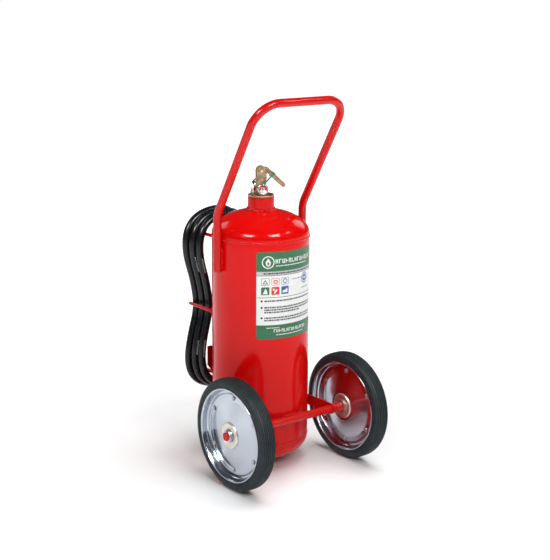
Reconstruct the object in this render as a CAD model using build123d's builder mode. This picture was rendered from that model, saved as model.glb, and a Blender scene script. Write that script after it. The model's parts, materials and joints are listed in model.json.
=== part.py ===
"""Wheeled dry powder fire extinguisher, in millimetres.

Frame: +Z up, X along the wheel axle, -Y towards the operator who stands at the handle.
The origin is on the floor, under the middle of the tank.
"""
import os
from math import cos, pi, radians, sin, sqrt, tan

from build123d import *

os.makedirs("parts", exist_ok=True)

# ------------------------------------------------------------------ driving sizes
# tank: a rolled barrel between two dished heads
tank_radius = 150.0
tank_wall = 3.0
tank_height = 793.0
head_depth = 75.0
head_flange = 6.0
floor_gap = 4.0
bead_width = 8.0
bead_height = 1.3

# neck and its screwed cap
collar_radius = 40.5
collar_bore = 33.2
collar_rise = 35.0
collar_sink = 20.0
cap_radius = 40.0
cap_flange = 6.5
cap_plug_depth = 30.0
seal_thickness = 2.0

# valve: the lever points along lever_angle and the outlet is a quarter turn further
lever_angle = -25.0
body_radius = 16.0
body_bore = 9.0
throat_radius = 6.0
spigot_radius = 16.9
spigot_depth = 26.0
hex_across = 36.0
hex_height = 9.0
slot_rise = 53.0
pivot_rise = 18.0
ear_radius = 15.0
ear_outer = 12.0
slot_half = 5.8
seat_rise = 27.0
outlet_rise = 34.5
gland_radius = 5.4
gland_depth = 11.0
stem_radius = 3.0
stem_stroke = 4.6
poppet_radius = 8.0
poppet_thickness = 4.0
poppet_seal = 1.9
spring_wire = 1.3
spring_radius = 6.2
spring_turns = 6
retainer_thickness = 4.0
retainer_rise = -8.0
tube_radius = 8.9
tube_wall = 1.4
tube_end_height = 34.0

# lever, its pins and the seal strap
hub_radius = 13.0
lever_thickness = 10.8
cam_reach = 17.2
cam_radius = 4.0
cam_angle = -165.0
droop = 43.4
arm_depth = 13.5
arm_offset = 14.2
arm_length = 86.0
grip_width = 18.0
pivot_pin_radius = 3.0
lock_pin_radius = 1.8
lock_pin_distance = 8.6
lever_travel = 75.0
ring_radius = 12.0
ring_wire = 1.1
strap_thickness = 1.2
strap_width = 5.0

# pressure gauge, opposite the outlet
gauge_radius = 16.5
gauge_depth = 10.0
gauge_wall = 1.3
gauge_rise = 18.0
gauge_reach = 22.0
port_radius = 4.8
dial_thickness = 0.8
needle_length = 11.0
lens_thickness = 1.5

# hose, its end fittings and the nozzle
hose_radius = 12.0
boss_radius = 11.0
boss_reach = 26.0
elbow_radius = 10.5
elbow_bore = 6.0
elbow_bend = 25.0
elbow_run = 46.0
elbow_tail = 20.0
nut_across = 30.0
nut_length = 18.0
ferrule_radius = 14.0
ferrule_length = 32.0
nozzle_ferrule_length = 26.0
nozzle_radius = 14.0
nozzle_body_length = 88.0
nozzle_tip_radius = 10.0
nozzle_tip_length = 84.0
nozzle_bore = 5.5
trigger_travel = 11.0
trigger_length = 76.0
trigger_thickness = 7.0
trigger_width = 14.0
holder_wall = 2.5
holder_height = 30.0

# hose rack on the back of the tank
rod_radius = 5.5
peg_x = 72.0
peg_upper_z = 694.0
peg_lower_z = 250.0
peg_reach = 258.0
peg_tip = 24.0
peg_bend = 9.0
retainer_x = 106.0
retainer_z = 467.0
retainer_reach = 232.0
gusset_thickness = 4.0
gusset_y = 148.0

# handle, one bent tube welded to both sides of the tank
handle_radius = 12.5
handle_wall = 2.0
handle_bottom_z = 622.0
handle_bend_z = 794.0
handle_lean = 30.5
handle_upper = 394.0
handle_lower_bend = 70.0
handle_corner_bend = 74.0

# axle and its side plates
axle_radius = 12.5
axle_half = 257.0
axle_standoff = 3.5
plate_height = 33.0
plate_thickness = 5.0
plate_tail = 25.0
sleeve_radius = 14.6
washer_radius = 20.0
washer_thickness = 3.0
stop_ring_radius = 18.0
stop_ring_width = 5.4
cotter_radius = 1.6
cotter_length = 34.0

# wheels
wheel_radius = 169.0
wheel_x = 219.0
tyre_width = 52.0
tyre_seat = 139.4
rim_radius = 141.4
rim_wall = 2.5
disc_radius = 121.0
disc_hole = 39.2
disc_edge_a = 6.6
disc_hub_a = 20.0
disc_flat = 104.0
disc_land = 47.0
disc_wall = 3.5
groove_a = 4.0
bolt_circle = 112.0
bolt_count = 6
bolt_radius = 3.0
bolt_head = 4.0
hub_half = 23.0
hub_shoulder = 45.0
hub_waist = 30.0
bearing_radius = 21.0
bearing_width = 9.0

# label and rear foot
label_half_angle = 42.5
label_bottom_z = 425.5
label_top_z = 692.0
label_thickness = 0.4
foot_radius = 112.0
foot_wall = 4.0
foot_flange = 18.0
foot_half_angle = 45.0

# clearances
weld_gap = 0.1
fit_gap = 0.05
part_gap = 0.3

# ------------------------------------------------------------------ derived places
bottom_centre_z = floor_gap + head_depth
seam_low_z = bottom_centre_z + head_flange
top_z = floor_gap + tank_height
top_centre_z = top_z - head_depth
seam_high_z = top_centre_z - head_flange
collar_top_z = top_z + collar_rise
cap_z = collar_top_z + seal_thickness
base_z = cap_z + cap_flange
slot_z = base_z + slot_rise
pivot_z = slot_z + pivot_rise
seat_z = base_z + seat_rise
outlet_z = base_z + outlet_rise
gauge_z = base_z + gauge_rise
axle_y = -(tank_radius + axle_radius + axle_standoff)
axle_z = wheel_radius
plate_x = tank_radius + weld_gap

lever_dir = Vector(cos(radians(lever_angle)), sin(radians(lever_angle)), 0)
outlet_dir = Vector(-lever_dir.Y, lever_dir.X, 0)
up = Vector(0, 0, 1)


def keep(piece, name):
    """Label a finished piece and write it as its own STEP file."""
    piece.part.label = name
    export_step(piece.part, f"parts/{name}.step")


def turned(plane, axis, points):
    """A turned solid: a closed profile of straight runs revolved about an axis."""
    with BuildPart() as solid:
        with BuildSketch(plane):
            with BuildLine():
                Polyline(*points, close=True)
            make_face()
        revolve(axis=axis)
    return solid


def dome_z(radius):
    """Height of the top head's outside at a distance from the tank's axis."""
    return top_centre_z + head_depth * sqrt(1 - (radius / tank_radius) ** 2)


def dish_z(radius):
    """Height of the bottom head's outside at a distance from the tank's axis."""
    return bottom_centre_z - head_depth * sqrt(1 - (radius / tank_radius) ** 2)


def along(u, v, z):
    """A point from its distances along the lever and outlet directions."""
    return lever_dir * u + outlet_dir * v + up * z


# ------------------------------------------------------------------ tank
with BuildPart() as tank_barrel:
    with BuildSketch(Plane.XY.offset(seam_low_z)):
        Circle(tank_radius)
        Circle(tank_radius - tank_wall, mode=Mode.SUBTRACT)
    extrude(amount=seam_high_z - seam_low_z)
keep(tank_barrel, "tank_barrel")


def dished_head(centre_z, sense, hole):
    """Half an ellipsoid shell with a short straight flange; sense is +1 for the top one."""
    inner = tank_radius - tank_wall
    inward = Align.MIN if sense > 0 else Align.MAX
    outward = Align.MAX if sense > 0 else Align.MIN
    with BuildPart() as head:
        with BuildSketch(Plane.XZ):
            with Locations((0, centre_z)):
                Ellipse(tank_radius, head_depth)
                Ellipse(inner, head_depth - tank_wall, mode=Mode.SUBTRACT)
            with Locations((hole, centre_z)):
                Rectangle(tank_radius, head_depth, align=(Align.MIN, inward), mode=Mode.INTERSECT)
            with Locations((inner, centre_z)):
                Rectangle(tank_wall, head_flange, align=(Align.MIN, outward))
        revolve(axis=Axis.Z)
    return head


tank_top_head = dished_head(top_centre_z, 1, collar_radius + weld_gap)
keep(tank_top_head, "tank_top_head")
tank_bottom_head = dished_head(bottom_centre_z, -1, 0)
keep(tank_bottom_head, "tank_bottom_head")

with BuildPart() as weld_beads:
    for bead_z in (seam_low_z, seam_high_z):
        with BuildSketch(Plane.XZ):
            with BuildLine():
                foot_low = (tank_radius + weld_gap, bead_z - bead_width / 2)
                foot_high = (tank_radius + weld_gap, bead_z + bead_width / 2)
                ThreePointArc(foot_low, (tank_radius + weld_gap + bead_height, bead_z), foot_high)
                Line(foot_high, foot_low)
            make_face()
        revolve(axis=Axis.Z)
    with BuildSketch(Plane.XZ):
        with BuildLine():
            bead_low = (collar_radius + bead_width, dome_z(collar_radius + bead_width) + part_gap)
            bead_high = (collar_radius + weld_gap, dome_z(collar_radius) + bead_width)
            bead_corner = (collar_radius + weld_gap, dome_z(collar_radius) + part_gap)
            Polyline(bead_low, bead_high, bead_corner, close=True)
        make_face()
    revolve(axis=Axis.Z)
keep(weld_beads, "weld_beads")

with BuildPart() as neck_collar:
    with BuildSketch(Plane.XY.offset(top_z - collar_sink)):
        Circle(collar_radius)
        Circle(collar_bore, mode=Mode.SUBTRACT)
    extrude(amount=collar_rise + collar_sink)
    chamfer(neck_collar.edges().group_by(Axis.Z)[-1], length=1.0)
keep(neck_collar, "neck_collar")

# ------------------------------------------------------------------ screwed cap and its washer
with BuildPart() as cap_seal:
    with BuildSketch(Plane.XY.offset(collar_top_z)):
        Circle(collar_radius - 1.5)
        Circle(collar_bore + part_gap, mode=Mode.SUBTRACT)
    extrude(amount=seal_thickness)
keep(cap_seal, "cap_seal")

with BuildPart() as valve_cap:
    with BuildSketch(Plane.XY.offset(cap_z)):
        Circle(cap_radius)
    extrude(amount=cap_flange)
    fillet(valve_cap.edges().group_by(Axis.Z)[-1], radius=1.2)
    with BuildSketch(Plane.XY.offset(cap_z)):
        Circle(collar_bore - weld_gap)
    extrude(amount=-cap_plug_depth)
    with BuildSketch(Plane.XY.offset(cap_z - cap_plug_depth)):
        Circle(spigot_radius + fit_gap)
    extrude(amount=cap_plug_depth + cap_flange, mode=Mode.SUBTRACT)
keep(valve_cap, "valve_cap")

# ------------------------------------------------------------------ valve body
# planes through the valve's axis: one along the lever, one along the outlet
lever_plane = Plane(origin=(0, 0, 0), x_dir=lever_dir, z_dir=-outlet_dir)
outlet_plane = Plane(origin=(0, 0, 0), x_dir=outlet_dir, z_dir=lever_dir)


def valve_level(z):
    """A horizontal plane whose x runs along the lever."""
    return Plane(origin=(0, 0, z), x_dir=lever_dir, z_dir=up)


def outlet_face(v, z):
    """A plane square to the outlet direction, with x along the lever backwards."""
    return Plane(origin=along(0, v, z), x_dir=-lever_dir, z_dir=outlet_dir)


with BuildPart() as valve_body:
    with BuildSketch(valve_level(base_z - spigot_depth - cap_flange)):
        Circle(spigot_radius)
    extrude(amount=spigot_depth + cap_flange + fit_gap)
    with BuildSketch(valve_level(base_z + fit_gap)):
        RegularPolygon(hex_across / 2, 6, major_radius=False)
    extrude(amount=hex_height)
    with BuildSketch(valve_level(base_z)):
        Circle(body_radius)
    extrude(amount=slot_rise)
    # the clevis head, with the ears either side of the lever's hub
    with BuildSketch(lever_plane):
        with Locations((0, pivot_z)):
            Circle(ear_radius)
        with Locations((0, slot_z - ear_radius / 2)):
            Rectangle(2 * ear_radius, pivot_rise + ear_radius / 2, align=(Align.CENTER, Align.MIN))
    extrude(amount=ear_outer, both=True)
    # outlet boss and gauge boss
    with BuildSketch(outlet_face(0, outlet_z)):
        Circle(boss_radius)
    extrude(amount=boss_reach)
    with BuildSketch(outlet_face(0, gauge_z)):
        Circle(port_radius + 3.0)
    extrude(amount=-(gauge_reach - 3.0))
    # slot, bores and pin holes
    with BuildSketch(lever_plane):
        with Locations((0, slot_z)):
            Rectangle(4 * ear_radius, 4 * ear_radius, align=(Align.CENTER, Align.MIN))
    extrude(amount=slot_half, both=True, mode=Mode.SUBTRACT)
    with BuildSketch(valve_level(base_z - spigot_depth - cap_flange)):
        Circle(body_bore)
    extrude(amount=seat_z - base_z + spigot_depth + cap_flange, mode=Mode.SUBTRACT)
    with BuildSketch(valve_level(seat_z)):
        Circle(throat_radius)
    extrude(amount=slot_z - gland_depth - seat_z, mode=Mode.SUBTRACT)
    with BuildSketch(valve_level(slot_z - gland_depth)):
        Circle(gland_radius + fit_gap)
    extrude(amount=gland_depth, mode=Mode.SUBTRACT)
    with BuildSketch(outlet_face(0, outlet_z)):
        Circle(throat_radius - 1.0)
    extrude(amount=boss_reach, mode=Mode.SUBTRACT)
    with BuildSketch(outlet_face(0, gauge_z)):
        Circle(port_radius + fit_gap)
    extrude(amount=-gauge_reach, mode=Mode.SUBTRACT)
    lock_angle = radians(90 - droop)
    lock_u = lock_pin_distance * cos(lock_angle)
    lock_z = pivot_z + lock_pin_distance * sin(lock_angle)
    with BuildSketch(lever_plane):
        with Locations((0, pivot_z)):
            Circle(pivot_pin_radius + fit_gap)
        with Locations((lock_u, lock_z)):
            Circle(lock_pin_radius + fit_gap)
    extrude(amount=2 * ear_outer, both=True, mode=Mode.SUBTRACT)
keep(valve_body, "valve_body")

with BuildPart() as stem_gland:
    with BuildSketch(valve_level(slot_z - gland_depth)):
        Circle(gland_radius)
        Circle(stem_radius + fit_gap, mode=Mode.SUBTRACT)
    extrude(amount=gland_depth)
keep(stem_gland, "stem_gland")

stem_top_z = pivot_z - hub_radius - part_gap
poppet_top_z = seat_z - poppet_seal - fit_gap
with BuildPart() as valve_stem:
    with BuildSketch(valve_level(poppet_top_z - poppet_thickness)):
        Circle(poppet_radius)
    extrude(amount=poppet_thickness)
    with BuildSketch(valve_level(poppet_top_z)):
        Circle(stem_radius)
    extrude(amount=stem_top_z - poppet_top_z)
    fillet(valve_stem.edges().group_by(Axis.Z)[-1], radius=0.8)
keep(valve_stem, "valve_stem")

with BuildPart() as poppet_washer:
    with BuildSketch(valve_level(poppet_top_z + fit_gap / 2)):
        Circle(poppet_radius - part_gap)
        Circle(stem_radius + fit_gap, mode=Mode.SUBTRACT)
    extrude(amount=poppet_seal)
keep(poppet_washer, "poppet_washer")

retainer_z_low = base_z + retainer_rise
with BuildPart() as spring_retainer:
    with BuildSketch(valve_level(retainer_z_low)):
        Circle(body_bore - fit_gap)
        Circle(body_bore / 2, mode=Mode.SUBTRACT)
    extrude(amount=retainer_thickness)
keep(spring_retainer, "spring_retainer")

spring_low_z = retainer_z_low + retainer_thickness + spring_wire / 2 + fit_gap
spring_high_z = poppet_top_z - poppet_thickness - spring_wire / 2 - fit_gap
with BuildPart() as stem_spring:
    with BuildLine():
        spring_path = Helix(
            pitch=(spring_high_z - spring_low_z) / spring_turns,
            height=spring_high_z - spring_low_z,
            radius=spring_radius,
            center=(0, 0, spring_low_z),
        )
    with BuildSketch(Plane(origin=spring_path @ 0, z_dir=spring_path % 0)):
        Circle(spring_wire / 2)
    sweep(path=spring_path, is_frenet=True)
keep(stem_spring, "stem_spring")

with BuildPart() as dip_tube:
    with BuildSketch(Plane.XY.offset(tube_end_height)):
        Circle(tube_radius)
        Circle(tube_radius - tube_wall, mode=Mode.SUBTRACT)
    extrude(amount=retainer_z_low - part_gap - tube_end_height)
keep(dip_tube, "dip_tube")

# ------------------------------------------------------------------ lever and pins
arm_dir = Vector(cos(radians(droop)), -sin(radians(droop)), 0)
arm_up = Vector(-arm_dir.Y, arm_dir.X, 0)
arm_low = arm_offset - arm_depth / 2
arm_high = arm_offset + arm_depth / 2
arm_tip = arm_length - arm_depth / 2
grip_start = ear_radius + hub_radius / 2
lock_slot_margin = 4.0


def lever_point(s, n):
    """A point of the lever's side view, from its distances along and above the arm's line."""
    place = arm_dir * s + arm_up * n
    return (place.X, pivot_z + place.Y)


def arm_side(start):
    """The arm's side view as a closed face, from a start line to its round tip."""
    with BuildLine() as outline:
        Line(lever_point(start, arm_high), lever_point(arm_tip, arm_high))
        ThreePointArc(
            lever_point(arm_tip, arm_high), lever_point(arm_length, arm_offset), lever_point(arm_tip, arm_low)
        )
        Line(lever_point(arm_tip, arm_low), lever_point(start, arm_low))
        Line(lever_point(start, arm_low), lever_point(start, arm_high))
    return outline.line


lock_arc = CenterArc(
    (0, pivot_z), lock_pin_distance, 90 - droop + lock_slot_margin, -(lever_travel + 2 * lock_slot_margin)
)
nose_distance = cam_reach - cam_radius
nose_u = nose_distance * cos(radians(cam_angle))
nose_z = pivot_z + nose_distance * sin(radians(cam_angle))
arm_outline = arm_side(hub_radius / 2)
grip_outline = arm_side(grip_start)

with BuildPart() as valve_lever:
    with BuildSketch(lever_plane):
        with Locations((0, pivot_z)):
            Circle(hub_radius)
        # the cam nose pushes the stem down as the lever is lifted
        with Locations((nose_u, nose_z)):
            Circle(cam_radius)
        make_face(arm_outline.edges())
        with BuildLine():
            Polyline(
                lever_point(hub_radius / 2, arm_high),
                lever_point(-hub_radius / 2, hub_radius * sqrt(3) / 2),
                lever_point(0, 0),
                lever_point(hub_radius / 2, arm_low),
                close=True,
            )
        make_face()
    extrude(amount=lever_thickness / 2, both=True)
    with BuildSketch(lever_plane):
        make_face(grip_outline.edges())
    extrude(amount=grip_width / 2, both=True)
    # pivot bore, and the curved slot in which the lock pin stands over the whole lift
    with BuildSketch(lever_plane):
        with Locations((0, pivot_z)):
            Circle(pivot_pin_radius + fit_gap)
        SlotArc(lock_arc, 2 * (lock_pin_radius + part_gap))
    extrude(amount=grip_width, both=True, mode=Mode.SUBTRACT)
keep(valve_lever, "valve_lever")

with BuildPart() as lever_pin:
    with BuildSketch(lever_plane.offset(-ear_outer)):
        with Locations((0, pivot_z)):
            Circle(pivot_pin_radius)
    extrude(amount=2 * ear_outer)
keep(lever_pin, "lever_pin")

eye_v = ear_outer + 7.0
eye_radius = 4.2
with BuildPart() as safety_pin:
    with BuildSketch(lever_plane.offset(-eye_v + eye_radius / 2)):
        with Locations((lock_u, lock_z)):
            Circle(lock_pin_radius)
    extrude(amount=eye_v + ear_outer + 2.5 - eye_radius / 2)
    with BuildSketch(outlet_plane.offset(lock_u)):
        with Locations((eye_v, lock_z)):
            Circle(eye_radius)
            Circle(ring_wire + 2 * part_gap, mode=Mode.SUBTRACT)
    extrude(amount=1.0, both=True)
keep(safety_pin, "safety_pin")

with BuildPart() as pin_ring:
    with BuildSketch(outlet_plane.offset(lock_u)):
        with Locations((eye_v, lock_z)):
            Circle(ring_wire)
    revolve(axis=Axis(along(lock_u, eye_v, lock_z - ring_radius), outlet_dir))
keep(pin_ring, "pin_ring")

# a loose strap round the lever's arm, with its tail hanging in front of the valve body
strap_s = 33.0
strap_gap = 0.4
tail_end = (5.0, base_z + 32.0)
tail_start = lever_point(strap_s - 2.0, arm_low)
strap_near = body_radius + 2 * strap_gap + strap_thickness
strap_far = grip_width / 2 + strap_gap + strap_thickness
strap_plane = Plane(
    origin=along(0, 0, pivot_z), x_dir=outlet_dir, z_dir=lever_dir * arm_dir.X + up * arm_dir.Y
)
with BuildPart() as tamper_seal:
    with BuildSketch(strap_plane.offset(strap_s)):
        with Locations(((strap_far - strap_near) / 2, arm_offset)):
            loop_width = strap_near + strap_far
            loop_depth = arm_depth + 2 * (strap_gap + strap_thickness)
            Rectangle(loop_width, loop_depth)
            Rectangle(loop_width - 2 * strap_thickness, loop_depth - 2 * strap_thickness, mode=Mode.SUBTRACT)
    extrude(amount=strap_width / 2, both=True)
    with BuildSketch(lever_plane.offset(strap_near - strap_thickness)):
        with BuildLine():
            tail_line = Line(tail_start, tail_end)
        make_face(tail_line.offset_2d(strap_width / 2).edges())
    extrude(amount=strap_thickness)
keep(tamper_seal, "tamper_seal")

# ------------------------------------------------------------------ pressure gauge
gauge_front = -(gauge_reach + gauge_depth)
dial_v = -(gauge_reach + gauge_wall)
needle_v = dial_v - dial_thickness
lens_v = gauge_front + 0.8


def gauge_disc(v_back, v_front, radius):
    """A round plate of the gauge between two distances in front of the valve's axis."""
    with BuildPart() as disc:
        with BuildSketch(outlet_face(v_back, gauge_z)):
            Circle(radius)
        extrude(amount=v_front - v_back)
    return disc


with BuildPart() as gauge_case:
    with BuildSketch(outlet_face(-gauge_reach, gauge_z)):
        Circle(gauge_radius)
    extrude(amount=-gauge_depth)
    fillet(gauge_case.edges().sort_by(Axis(along(0, 0, gauge_z), -outlet_dir))[-1], radius=1.0)
    with BuildSketch(outlet_face(dial_v, gauge_z)):
        Circle(gauge_radius - gauge_wall)
    extrude(amount=-gauge_depth, mode=Mode.SUBTRACT)
    with BuildSketch(outlet_face(-gauge_reach, gauge_z)):
        Circle(port_radius)
    extrude(amount=gauge_reach / 2)
keep(gauge_case, "gauge_case")

gauge_dial = gauge_disc(dial_v - fit_gap, needle_v, gauge_radius - gauge_wall - fit_gap)
keep(gauge_dial, "gauge_dial")

gauge_lens = gauge_disc(lens_v + lens_thickness, lens_v, gauge_radius - gauge_wall - fit_gap)
keep(gauge_lens, "gauge_lens")

with BuildPart() as gauge_needle:
    with BuildSketch(outlet_face(needle_v - part_gap, gauge_z)):
        Circle(2.0)
        with BuildLine():
            Polyline((-1.0, -4.0), (1.0, -4.0), (0.3, needle_length), (-0.3, needle_length), close=True)
        make_face()
    extrude(amount=-0.8)
keep(gauge_needle, "gauge_needle")

# ------------------------------------------------------------------ outlet elbow and hose end
elbow_turn = radians(45)
elbow_after = elbow_bend * tan(elbow_turn / 2) + elbow_tail
elbow_end_v = elbow_run + elbow_after * cos(elbow_turn)
elbow_end_z = outlet_z - elbow_after * sin(elbow_turn)
down_dir = outlet_dir * cos(elbow_turn) - up * sin(elbow_turn)
nut_gap = 0.2

with BuildPart() as outlet_elbow:
    with BuildLine(outlet_plane):
        elbow_path = FilletPolyline(
            (boss_reach + weld_gap, outlet_z), (elbow_run, outlet_z), (elbow_end_v, elbow_end_z),
            radius=elbow_bend,
        )
    with BuildSketch(Plane(origin=elbow_path @ 0, z_dir=elbow_path % 0)):
        Circle(elbow_radius)
        Circle(elbow_bore, mode=Mode.SUBTRACT)
    sweep(path=elbow_path)
keep(outlet_elbow, "outlet_elbow")


def down_face(distance):
    """A plane square to the elbow's tail, at a distance beyond the elbow's end."""
    return Plane(origin=along(0, elbow_end_v, elbow_end_z) + down_dir * distance, z_dir=down_dir)


with BuildPart() as coupling_nut:
    with BuildSketch(down_face(-1.0 - nut_length)):
        RegularPolygon(nut_across / 2, 6, major_radius=False)
        Circle(elbow_radius + nut_gap, mode=Mode.SUBTRACT)
    extrude(amount=nut_length)
keep(coupling_nut, "coupling_nut")

with BuildPart() as hose_ferrule:
    with BuildSketch(down_face(part_gap)):
        Circle(ferrule_radius)
        Circle(elbow_bore, mode=Mode.SUBTRACT)
    extrude(amount=ferrule_length)
keep(hose_ferrule, "hose_ferrule")


# ------------------------------------------------------------------ hose
# the route is limp rubber hose: from the ferrule over the dome to the coil, then to the nozzle
hose_exit = along(0, elbow_end_v, elbow_end_z) + down_dir * (part_gap + ferrule_length)
nozzle_x = 34.0
nozzle_y = 240.0
nozzle_top_z = 456.0
lead_straight = 36.0
lead_route = [hose_exit, hose_exit + down_dir * lead_straight, Vector(82, 143, 771), Vector(95, 163, 728)]
tail_route = [
    Vector(82, 236, 614), Vector(64, 239, 567), Vector(46, 240, 520), Vector(nozzle_x, nozzle_y, 484),
    Vector(nozzle_x, nozzle_y, nozzle_top_z),
]
arc_share = 0.45


def bend_radii(route):
    """The largest tangent arc that each corner's two runs allow."""
    radii = []
    for before, corner, after in zip(route, route[1:], route[2:]):
        turn = radians((corner - before).get_angle(after - corner))
        run = min((corner - before).length, (after - corner).length)
        radii.append(arc_share * run / tan(turn / 2))
    return radii


def hose_tube(route, name):
    """A plain tube along a route of straight runs and tangent arcs."""
    radii = bend_radii(route)
    print(name, "bend radii", [round(value) for value in radii])
    with BuildPart() as tube:
        with BuildLine():
            path = FilletPolyline(*route, radius=radii)
        with BuildSketch(Plane(origin=path @ 0, z_dir=path % 0)):
            Circle(hose_radius)
        sweep(path=path)
    section = pi * hose_radius ** 2
    print(name, "length", round(path.length), "volume ratio", round(tube.part.volume / section / path.length, 4))
    return tube


hose_lead = hose_tube(lead_route, "hose_lead")
keep(hose_lead, "hose_lead")
hose_tail = hose_tube(tail_route, "hose_tail")
keep(hose_tail, "hose_tail")

# the coil: loops drawn in at the waist, each a little larger and further back than the last
coil_start_angle = 50.0
coil_end_angle = 1140.0
coil_start_y = 165.0
coil_pitch = 24.0
waist_half, waist_growth = 70.0, 7.0
bulge_half, bulge_growth = 141.0, 13.5
loop_half_height, height_growth = 278.0, 5.5
loop_centre_z, centre_growth = 474.0, -1.0
waist_draw = 7.5
draw_wave = 6.5
first_full_angle = 270.0
outline_points = 24


def loop_point(angle, size):
    """X and Z of a loop at an angle from its top, for a loop of a given size step."""
    turn = radians(angle)
    waist = waist_half + waist_growth * size
    bulge = bulge_half + bulge_growth * size
    height = loop_half_height + height_growth * size
    centre = loop_centre_z + centre_growth * size
    reach = waist + bulge * cos(turn) ** 2 - waist_draw * cos(draw_wave * cos(turn))
    return Vector(sin(turn) * reach, centre + height * cos(turn), 0)


def loop_outline(size, outside):
    """Points round a loop, moved outwards by a distance."""
    points = []
    for step in range(outline_points):
        angle = 360 * (step + 0.5) / outline_points
        ahead = loop_point(angle + 1, size) - loop_point(angle - 1, size)
        outward = Vector(-ahead.Y, ahead.X, 0).normalized()
        place = loop_point(angle, size) + outward * outside
        points.append((place.X, place.Y))
    return points


def coil_length():
    """Length of the hose in the coil, summed along its turns."""
    length, previous = 0.0, None
    for angle in range(int(coil_start_angle), int(coil_end_angle) + 1, 2):
        flat = loop_point(angle, (angle - first_full_angle) / 360)
        place = Vector(flat.X, coil_start_y + coil_pitch * (angle - coil_start_angle) / 360, flat.Y)
        if previous is not None:
            length += (place - previous).length
        previous = place
    return length


coil_near_y = coil_start_y - hose_radius
coil_far_y = coil_start_y + coil_pitch * (coil_end_angle - coil_start_angle) / 360 + hose_radius
with BuildPart() as hose_coil:
    with BuildSketch(Plane.XZ.offset(-coil_near_y)):
        with BuildLine():
            Spline(*loop_outline(2, hose_radius), periodic=True)
        make_face()
        with BuildLine():
            Spline(*loop_outline(0, -hose_radius), periodic=True)
        make_face(mode=Mode.SUBTRACT)
    extrude(amount=-(coil_far_y - coil_near_y))
print("hose_coil length", round(coil_length()), "y", round(coil_near_y), round(coil_far_y))
keep(hose_coil, "hose_coil")

# ------------------------------------------------------------------ nozzle
nozzle_body_z = nozzle_top_z - nozzle_ferrule_length
nozzle_tip_z = nozzle_body_z - nozzle_body_length


def nozzle_level(z):
    """A horizontal plane on the nozzle's axis."""
    return Plane(origin=(nozzle_x, nozzle_y, z))


with BuildPart() as nozzle_ferrule:
    with BuildSketch(nozzle_level(nozzle_body_z + part_gap)):
        Circle(ferrule_radius)
        Circle(nozzle_bore, mode=Mode.SUBTRACT)
    extrude(amount=nozzle_ferrule_length - part_gap)
keep(nozzle_ferrule, "nozzle_ferrule")

trigger_pin_radius = 2.0
trigger_hub = 6.5
trigger_x = nozzle_x - nozzle_radius - trigger_hub - 1.5
trigger_z = nozzle_body_z - 12.0
lug_half = 3.0
trigger_foot_x = trigger_x - 16.0
with BuildPart() as nozzle_body:
    with BuildSketch(nozzle_level(nozzle_tip_z)):
        Circle(nozzle_radius)
    extrude(amount=nozzle_body_length)
    fillet(nozzle_body.edges().filter_by(GeomType.CIRCLE), radius=1.5)
    with BuildSketch(Plane.XZ.offset(-nozzle_y)):
        with BuildLine():
            Polyline(
                (trigger_x, trigger_z + trigger_hub - 1), (nozzle_x, nozzle_body_z - 2),
                (nozzle_x, trigger_z - 14), (trigger_x, trigger_z - trigger_hub + 1), close=True,
            )
        make_face()
        with Locations((trigger_x, trigger_z)):
            Circle(trigger_hub - 1)
    extrude(amount=lug_half, both=True)
    with BuildSketch(Plane.XZ.offset(-nozzle_y)):
        with Locations((trigger_x, trigger_z)):
            Circle(trigger_pin_radius + fit_gap)
    extrude(amount=4 * lug_half, both=True, mode=Mode.SUBTRACT)
    with BuildSketch(nozzle_level(nozzle_tip_z)):
        Circle(nozzle_bore)
    extrude(amount=nozzle_body_length, mode=Mode.SUBTRACT)
keep(nozzle_body, "nozzle_body")

with BuildPart() as nozzle_tip:
    with BuildSketch(nozzle_level(nozzle_tip_z - part_gap)):
        Circle(nozzle_radius - 1.0)
    extrude(amount=-12.0)
    with BuildSketch(nozzle_level(nozzle_tip_z - part_gap)):
        Circle(nozzle_tip_radius)
    extrude(amount=-nozzle_tip_length)
    chamfer(nozzle_tip.edges().group_by(Axis.Z)[0], length=1.5)
    with BuildSketch(nozzle_level(nozzle_tip_z - part_gap)):
        Circle(nozzle_bore)
    extrude(amount=-nozzle_tip_length, mode=Mode.SUBTRACT)
keep(nozzle_tip, "nozzle_tip")

with BuildPart() as nozzle_trigger:
    with BuildSketch(Plane.XZ.offset(-nozzle_y)):
        with Locations((trigger_x, trigger_z)):
            Circle(trigger_hub)
        with BuildLine():
            Polyline(
                (trigger_x + trigger_hub - 1.5, trigger_z), (trigger_x - trigger_hub + 1.5, trigger_z),
                (trigger_foot_x - trigger_thickness / 2, trigger_z - trigger_length),
                (trigger_foot_x + trigger_thickness / 2, trigger_z - trigger_length), close=True,
            )
        make_face()
    extrude(amount=trigger_width / 2, both=True)
    with BuildSketch(Plane.XZ.offset(-nozzle_y)):
        with Locations((trigger_x, trigger_z)):
            Rectangle(6 * trigger_hub, 3.2 * trigger_hub)
    extrude(amount=lug_half + part_gap, both=True, mode=Mode.SUBTRACT)
    with BuildSketch(Plane.XZ.offset(-nozzle_y)):
        with Locations((trigger_x, trigger_z)):
            Circle(trigger_pin_radius + fit_gap)
    extrude(amount=trigger_width, both=True, mode=Mode.SUBTRACT)
keep(nozzle_trigger, "nozzle_trigger")

with BuildPart() as trigger_pin:
    with BuildSketch(Plane.XZ.offset(-nozzle_y)):
        with Locations((trigger_x, trigger_z)):
            Circle(trigger_pin_radius)
    extrude(amount=trigger_width / 2 + 0.5, both=True)
keep(trigger_pin, "trigger_pin")

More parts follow.
